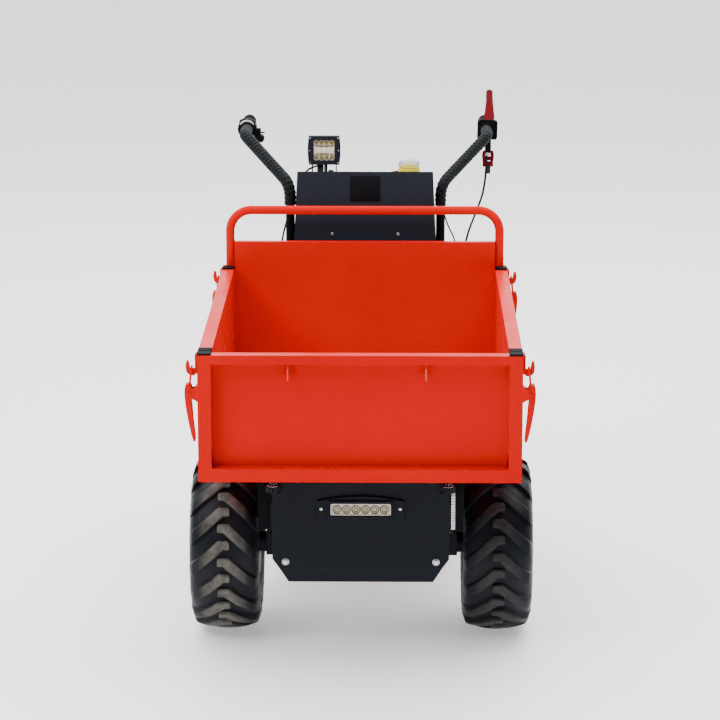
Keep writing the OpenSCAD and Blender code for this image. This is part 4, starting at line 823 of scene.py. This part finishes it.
# middle strip with flared ends
s.grid([[at_lamp(x, y, z) for y, z in
         ((5.2, -h), (2.2, -h), (1.0, -h * 0.4), (1.0, h * 0.4), (2.2, h), (5.2, h))]
        for x, h in ((-26, 12.5), (-21, 8.6), (-10, 7.6), (0, 7.4), (10, 7.6), (21, 8.6), (26, 12.5))])
s.piece("work_lamp_optics", "reflector", "chassis")
s = Shape()
s.box(at_lamp(-26.6, 5.0, -26.6), at_lamp(26.6, 8.9, 26.6), 0.4)
for x, way in LAMP_BOWLS:
    s.lathe(at_lamp(x, 5.0, way * 18.6), (0, -1, 0),
            [(0, 0), (5.6, 0.0), (5.6, 2.2), (4.6, 1.7), (3.0, 0.8), (2.4, 2.2), (0, 2.6)], 24)
    s.box(at_lamp(x - 5.4, 3.4, way * 13 - 4.6), at_lamp(x + 5.4, 5.0, way * 13 + 4.6), 0.8)
s.piece("work_lamp_bowls", "led", "chassis", ("work_lamp_lens",), finish=BOWL)

# ---------------------------------------------------------------- beacon
n_low, n_high = mm_box("beacon_dome")
DOME_R = (n_high.x - n_low.x) / 2
BEACON = Vector(((n_low.x + n_high.x) / 2, (n_low.y + n_high.y) / 2, n_low.z))


def round_beacon(i, n, r):
    """The i-th of n places at radius r round the beacon's foot."""
    a = 2 * math.pi * i / n
    return BEACON + Vector((math.cos(a), math.sin(a), 0)) * r


s = Shape()
s.lathe(BEACON, (0, 0, 1),
        [(0, 0.2), (DOME_R + 0.3, 0.2), (DOME_R + 0.3, 7.0), (DOME_R - 0.6, 8.0), (DOME_R - 2.6, 8.4),
         (DOME_R - 2.6, 11.0), (DOME_R - 4.5, 13.0), (17.0, 14.0), (15.0, 16.8), (6.0, 17.8),
         (0, 17.8)], 48)
for i in range(12):
    foot = round_beacon(i, 12, DOME_R - 0.3) + Vector((0, 0, 1))
    s.rod(foot, foot + Vector((0, 0, 6.4)), 1.2, 8, 0.4)
s.piece("beacon_insert", "beacon_yellow", "chassis", finish=BEACON_GLOW)
s = Shape()
s.lathe(BEACON, (0, 0, 1),
        [(DOME_R - 0.3, 7.2), (DOME_R, 8.2), (DOME_R, 22.0), (DOME_R - 1.2, 25.2), (DOME_R - 4.0, 28.2),
         (DOME_R - 9, 30.0), (0, 30.6), (0, 28.4), (DOME_R - 9.4, 27.8), (DOME_R - 5.0, 26.2),
         (DOME_R - 3.0, 23.8), (DOME_R - 2.2, 20.0), (DOME_R - 2.2, 7.2), (DOME_R - 0.3, 7.2)], 72)
for i in range(28):
    foot = round_beacon(i, 28, DOME_R - 2.6)
    s.rod(foot + Vector((0, 0, 10)), foot + Vector((0, 0, 24)), 0.8, 6, 0.2)
s.weld_doubles(0.001)
s.piece("beacon_cover", "clear_dome", "chassis", ("beacon_dome",))

# ---------------------------------------------------------------- front corners of the frame
s = Shape()
for side in (1, -1):
    s.plate([(side * x, z) for x, z in
             ((216, 300), (233, 300), (235, 303), (235, 412), (232, 415), (218, 415), (215, 401),
              (205, 401), (203, 398), (203, 361), (216, 361))], 124.8, 127.0, 0.5)
s.piece("corner_covers", "black_paint", "chassis", finish=HANDLE)
# ridged strips beside the guard, for the one CAD node: zinc on the right, and on the left the grip's dark
# finish as painted shade for that strip's darker reflection
r_low, r_high = mm_box("corner_strips")
TOOTH = 5.0
TOOTH_STEP = 6.6
for side, top in ((1, 391.0), (-1, r_high.z + 26)):
    s = Shape()
    x0, x1 = sorted((side * 206.2, side * 214.8))
    s.box((x0, 122.8, r_low.z + 0.5), (x1, 124.7, top), 0.3)
    z = r_low.z + 3
    while z < top - 6:
        s.box((x0 + 0.4, 121.4, z), (x1 - 0.4, 123.0, z + TOOTH), 0.7)
        z += TOOTH_STEP
    if side > 0:
        s.piece("corner_rack_right", "zinc", "chassis", ("corner_strips",))
    else:
        # painted shade: the left strip in the dark grip finish instead of zinc
        s.piece("corner_rack_left_shaded", "zinc", "chassis", finish=HANDLE)
s = Shape()
for side in (1, -1):
    for x in (-1, 1):
        s.lathe((side * 195 + x * 29.2, 152, 392), (x, 0, 0),
                [(0, 0), (13, 0), (13, 1.6), (11, 2.2), (0, 2.2)], 28)
s.piece("pivot_caps", "zinc", "chassis")

# ---------------------------------------------------------------- bed: welds, hinges and latches
HALF = mm_box("gate")[1].x
PANEL_TOP = mm_box("gate")[1].z
INNER = HALF - 30.0
SHEET_LOW, SHEET_TOP = 481, 719
HINGE_END = 27.4
SIDE_HINGE_X, SIDE_HINGE_Z = 352, 442
GATE_HINGE_Y, GATE_HINGE_Z = 37, 446
s = Shape()
for side in (1, -1):
    x = side * (INNER - 0.6)
    s.bead([(x, 26.4, SHEET_LOW), (x, 26.4, SHEET_TOP)], 1.5)
    s.bead([(x - side * 4.5, 23.5, 481), (x - side * 3.0, 24.5, 497), (x - side * 0.6, 26.0, 514)], 2.3)
    s.bead([(side * 146, 26.6, 690), (side * 146, 26.6, 718)], 1.2)
    s.bead([(side * 359.6, 15, 452), (side * 359.6, 15, 478)], 0.9)
s.bead([(-INNER, 26.4, 480.6), (INNER, 26.4, 480.6)], 1.5)
s.piece("gate_welds", "red_paint", "gate", angle=60.0)
s = Shape()
# thin light red rods on the tabs' front edges: a painted highlight
for x in (-160, 146):
    s.rod((x, 7.6, 681), (x, 7.6, 709), 1.5, 12, 0.5)
s.piece("gate_tab_highlights", "red_paint", "gate", finish=TAB_HIGHLIGHT)

s = Shape()
for side in (1, -1):
    x = side * (HALF - 19)
    turns = [2 * math.pi * k / 24 for k in range(25)]
    s.bead([(x + 11.6 * math.cos(a), 985 + 11.6 * math.sin(a), PANEL_TOP + 1.0) for a in turns], 1.6)
    s.bead([(side * (HALF - 31), 979, PANEL_TOP + up) for up in (3, 30, 62)], 1.6)
s.bead([(HALF - inset, y, PANEL_TOP + up) for inset, y, up in ((10, 978, 4), (11, 976, 14), (10, 978, 24))],
       2.4)
for x in (INNER - 1, 1 - INNER):
    s.bead([(x, 969.5, 483), (x, 969.5, 736)], 1.5)
s.bead([(-INNER, 969.5, 481), (INNER, 969.5, 481)], 1.5)
s.piece("wall_welds", "red_paint", "bed", angle=60.0)

for side, name in ((1, "right"), (-1, "left")):
    body = "side_" + name
    x = side * (INNER + 3.6)
    s = Shape()
    for y in (340, 640):
        for edge in (-0.5, 20.5):
            s.bead([(x, y + edge, z) for z in (482, 600, 718)], 1.2)
    s.bead([(x, y, 480.8) for y in (64, 936)], 1.3)
    s.bead([(x, y, 719.4) for y in (64, 936)], 1.3)
    s.piece("panel_welds_" + name, "red_paint", body, angle=60.0)
    s = Shape()
    x = side * SIDE_HINGE_X
    for y in (180, 500, 820):
        for end in (-HINGE_END, HINGE_END):
            a, b, c = ((x, y + end * far, SIDE_HINGE_Z) for far in (1, 1.09, 1.17))
            s.rod(a, b, 5.6, 20, 0.8)
            s.rod(b, c, 3.6, 16)
    s.piece("hinge_pins_" + name, "zinc", body)
s = Shape()
for x in (-240, 0, 240):
    for end in (-HINGE_END, HINGE_END):
        s.rod((x + end, GATE_HINGE_Y, GATE_HINGE_Z), (x + end * 1.08, GATE_HINGE_Y, GATE_HINGE_Z),
              5.0, 20, 0.7)
s.piece("gate_hinge_pins", "zinc", "gate")

# cheeks of the latch levers: drop below the pivot, and the edges' distances from the panel's side
LEVER = [(-14, 25.5, 15), (-4, 28.2, 11), (8, 28.8, 10.5), (22, 28, 13.5), (40, 26, 11.5), (70, 21, 9.5),
         (100, 15, 6.0), (117, 10.2, 5.0)]
LEVER_Z = 660
for body, y in (("gate", 12.0), ("bed", 988.0)):
    s = Shape()
    for side in (1, -1):
        outline = [(side * (HALF + far), LEVER_Z - drop) for drop, far, near in LEVER]
        outline += [(side * (HALF + near), LEVER_Z - drop) for drop, far, near in LEVER[::-1]]
        for edge in (-1, 1):
            s.plate(outline, y + edge * 8.4, y + edge * 9.6, 0.3)
    s.piece("latch_levers_" + body, "red_paint", body)
    s = Shape()
    for side in (1, -1):
        x = side * (HALF + 15)
        for end in (-1, 1):
            s.rod((x, y + end * 12.0, 652), (x, y + end * 13.8, 652), 4.2, 20, 0.7)
        for z in (639.5, 664.5):
            s.lathe((side * (HALF + 3.9), y, z), (side, 0, 0),
                    [(0, 0), (3.6, 0), (3.2, 1.1), (1.6, 1.9), (0, 2.0)], 20)
    s.piece("latch_rivets_" + body, "red_paint", body)

# ---------------------------------------------------------------- handlebar ends
WINDOW = [(18.6, 11.5), (17.4, 17.0), (13.0, 21.6), (7.0, 24.4), (0, 25.4), (-7.0, 24.4), (-13.0, 21.6),
          (-17.4, 17.0)]
s = Shape()
s.plate([(x - GRIP_X, GRIP_Z + z) for x, z in [(-18.6, 12.5)] + WINDOW], 1402.4, 1404.4, 0.5)
s.piece("throttle_window", "reflector", "chassis")
s = Shape()
s.lathe((-GRIP_X, 1398.5, GRIP_Z), (0, 1, 0),
        [(15.6, 0), (18.5, 0), (20.5, 2), (20.5, 6), (15.6, 6), (15.6, 0)], 40)
s.lathe((GRIP_X, 1398.5, GRIP_Z), (0, 1, 0),
        [(15.4, 0), (18.0, 0), (19.5, 1.6), (19.5, 6), (15.4, 6), (15.4, 0)], 40)
s.lathe((-282, 1398, GRIP_Z - 26), (0, 1, 0),
        [(0, -1.5), (5, -1.0), (8.6, 1.2), (9.6, 5), (9.6, 24), (8, 27), (0, 28)], 28)
# clamp halves and straps of the brake perch, as (x, z) from the grip's axis
PERCH_RIBS = [
    (1403.6, [(12, 24), (17, 24), (24, 2), (21, -3)]),
    (1403.6, [(-6, 24), (-11, 24), (-18, 2), (-15, -3)]),
    (1403.8, [(-24, -22), (-20, -26), (-16, 20), (-20, 22)]),
    (1403.8, [(24, -25), (29, -20), (30, 16), (26, 18)]),
]
for y0, outline in PERCH_RIBS:
    s.plate([(GRIP_X + x, GRIP_Z + z) for x, z in outline], y0, 1407, 0.6)
s.piece("control_housings", "dark_plastic", "chassis", finish=HANDLE)
s = Shape()
s.rod((322, 1404.6, 957), (322, 1412, 957), 5.6, 24, 0.8)
s.piece("brake_barrel", "zinc", "chassis")
FORK_ARM = ((5.5, 968), (12.5, 968), (15.6, 962), (16.2, 952), (14.5, 942), (10.0, 929), (6.5, 925),
            (4.5, 930), (7.0, 946))
s = Shape()
s.box((316, 1408, 926), (332, 1422, 938), 1.8)
for way in (1, -1):
    s.plate([(324 + way * x, z) for x, z in FORK_ARM], 1405.6, 1409.4, 0.8)
s.piece("brake_fork", "red_plastic", "chassis")
s = Shape()
for side in (1, -1):
    s.bolt((side * (BAR_X + 15.3), BAR_Y, 384), (side, 0, 0), 7.0, washer=False)
s.piece("socket_screws", "zinc", "chassis")

# ---------------------------------------------------------------- operator's side
SLOPE = math.radians(22.0)
OUT = Vector((0.0, math.sin(SLOPE), math.cos(SLOPE)))
DOWN = Vector((0.0, math.cos(SLOPE), -math.sin(SLOPE)))
GAUGE = (-30, 150)
KEY = (-90, 150)
STOP = (85, 165)


def on_console(x, along, height):
    """A place on the console's sloping face: along runs down it, height stands off it."""
    return Vector((x, CONSOLE_Y, CAB_TOP)) + DOWN * along + OUT * height


s = Shape()
s.lathe(on_console(*GAUGE, 12), OUT, [(23, 0), (28, 0), (28, 2.2), (26, 3.4), (23.5, 2.4), (23, 0)], 48)
s.lathe(on_console(*KEY, 14), OUT, [(0, 0), (11, 0), (11, 1.6), (9.5, 2.6), (0, 2.6)], 32)
s.lathe(on_console(*KEY, 16.5), OUT, [(0, 0), (4.4, 0), (4.4, 5), (0, 5)], 20)
for x in (-132, 132):
    for along in (89, 218):
        s.screw(on_console(x, along, 4.0), OUT, 3.4)
s.piece("console_fittings", "zinc", "chassis")
# the gauge's face, the key with its flat bow, and the rocker switch
s = Shape()
s.lathe(on_console(*GAUGE, 12), OUT, [(0, 0), (23.4, 0), (23.4, 0.8), (0, 1.2)], 48)
s.tube([on_console(*KEY, height) for height in (19, 24, 36)],
       lambda run, a: 2.4 if run < 4 else 3.2 + 5.0 * abs(math.cos(a)) ** 0.6, 24)
s.tube([on_console(24, 150, 11), on_console(40, 150, 11)], 7.0, 24)
s.piece("console_dark_fittings", "dark_plastic", "chassis")
s = Shape()
for k in range(7):
    a = math.radians(-120 + 40 * k)
    at = on_console(*GAUGE, 12.9) + Vector((math.sin(a), 0, 0)) * 17 - DOWN * math.cos(a) * 17
    s.lathe(at, OUT, [(0, 0), (2.2, 0), (2.0, 0.7), (0, 0.9)], 14)
s.piece("console_gauge_lights", "led", "chassis")
s = Shape()
s.lathe(on_console(*STOP, 30), OUT,
        [(0, 0), (19.2, 0), (20, 1.0), (20, 3.2), (18.6, 4.8), (14, 5.9), (6, 6.5), (0, 6.6)], 40)
s.piece("stop_button", "red_plastic", "chassis")
s = Shape()
s.lathe(on_console(*STOP, 12), OUT,
        [(9.2, 0), (21.6, 0), (21.6, 1.4), (20.6, 2.0), (9.2, 2.0), (9.2, 0)], 40)
s.piece("stop_button_ring", "beacon_yellow", "chassis")

BACK_Y = k_high.y - 5.0
s = Shape()
s.plate([(-88, 452), (88, 452), (92, 456), (92, 618), (88, 622), (-88, 622), (-92, 618), (-92, 456)],
        BACK_Y - 0.2, BACK_Y + 1.6, 0.5)
s.piece("service_cover", "black_paint", "chassis")
s = Shape()
for x in (-84, 0, 84):
    for z in (459, 615):
        s.screw((x, BACK_Y + 1.5, z), (0, 1, 0), 3.6)
for side in (1, -1):
    for y in (1062, 1262):
        for z in (380, 580, 780):
            s.screw((side * 181, y, z), (side, 0, 0), 3.6)
s.lathe((70, BACK_Y, 700), (0, 1, 0), [(0, 0), (9, 0), (9, 2.5), (7, 3.5), (0, 3.5)], 28)
s.piece("cabinet_fasteners", "zinc", "chassis")

# lift actuator: gland ring and the ribs of its tube
ACT_FOOT = Vector((0, 200, 290))
ACT_WAY = (Vector((0, 480, 420)) - ACT_FOOT).normalized()
s = Shape()
s.lathe(ACT_FOOT + ACT_WAY * 214, ACT_WAY, [(12, 0), (24.6, 0), (24.6, 6), (20, 9), (12, 9), (12, 0)], 32)
for k in range(4):
    s.lathe(ACT_FOOT + ACT_WAY * (60 + 36 * k), ACT_WAY,
            [(23.9, 0), (24.7, 0.6), (24.7, 3.4), (23.9, 4)], 40)
s.piece("actuator_rings", "zinc", "cylinder_tube")
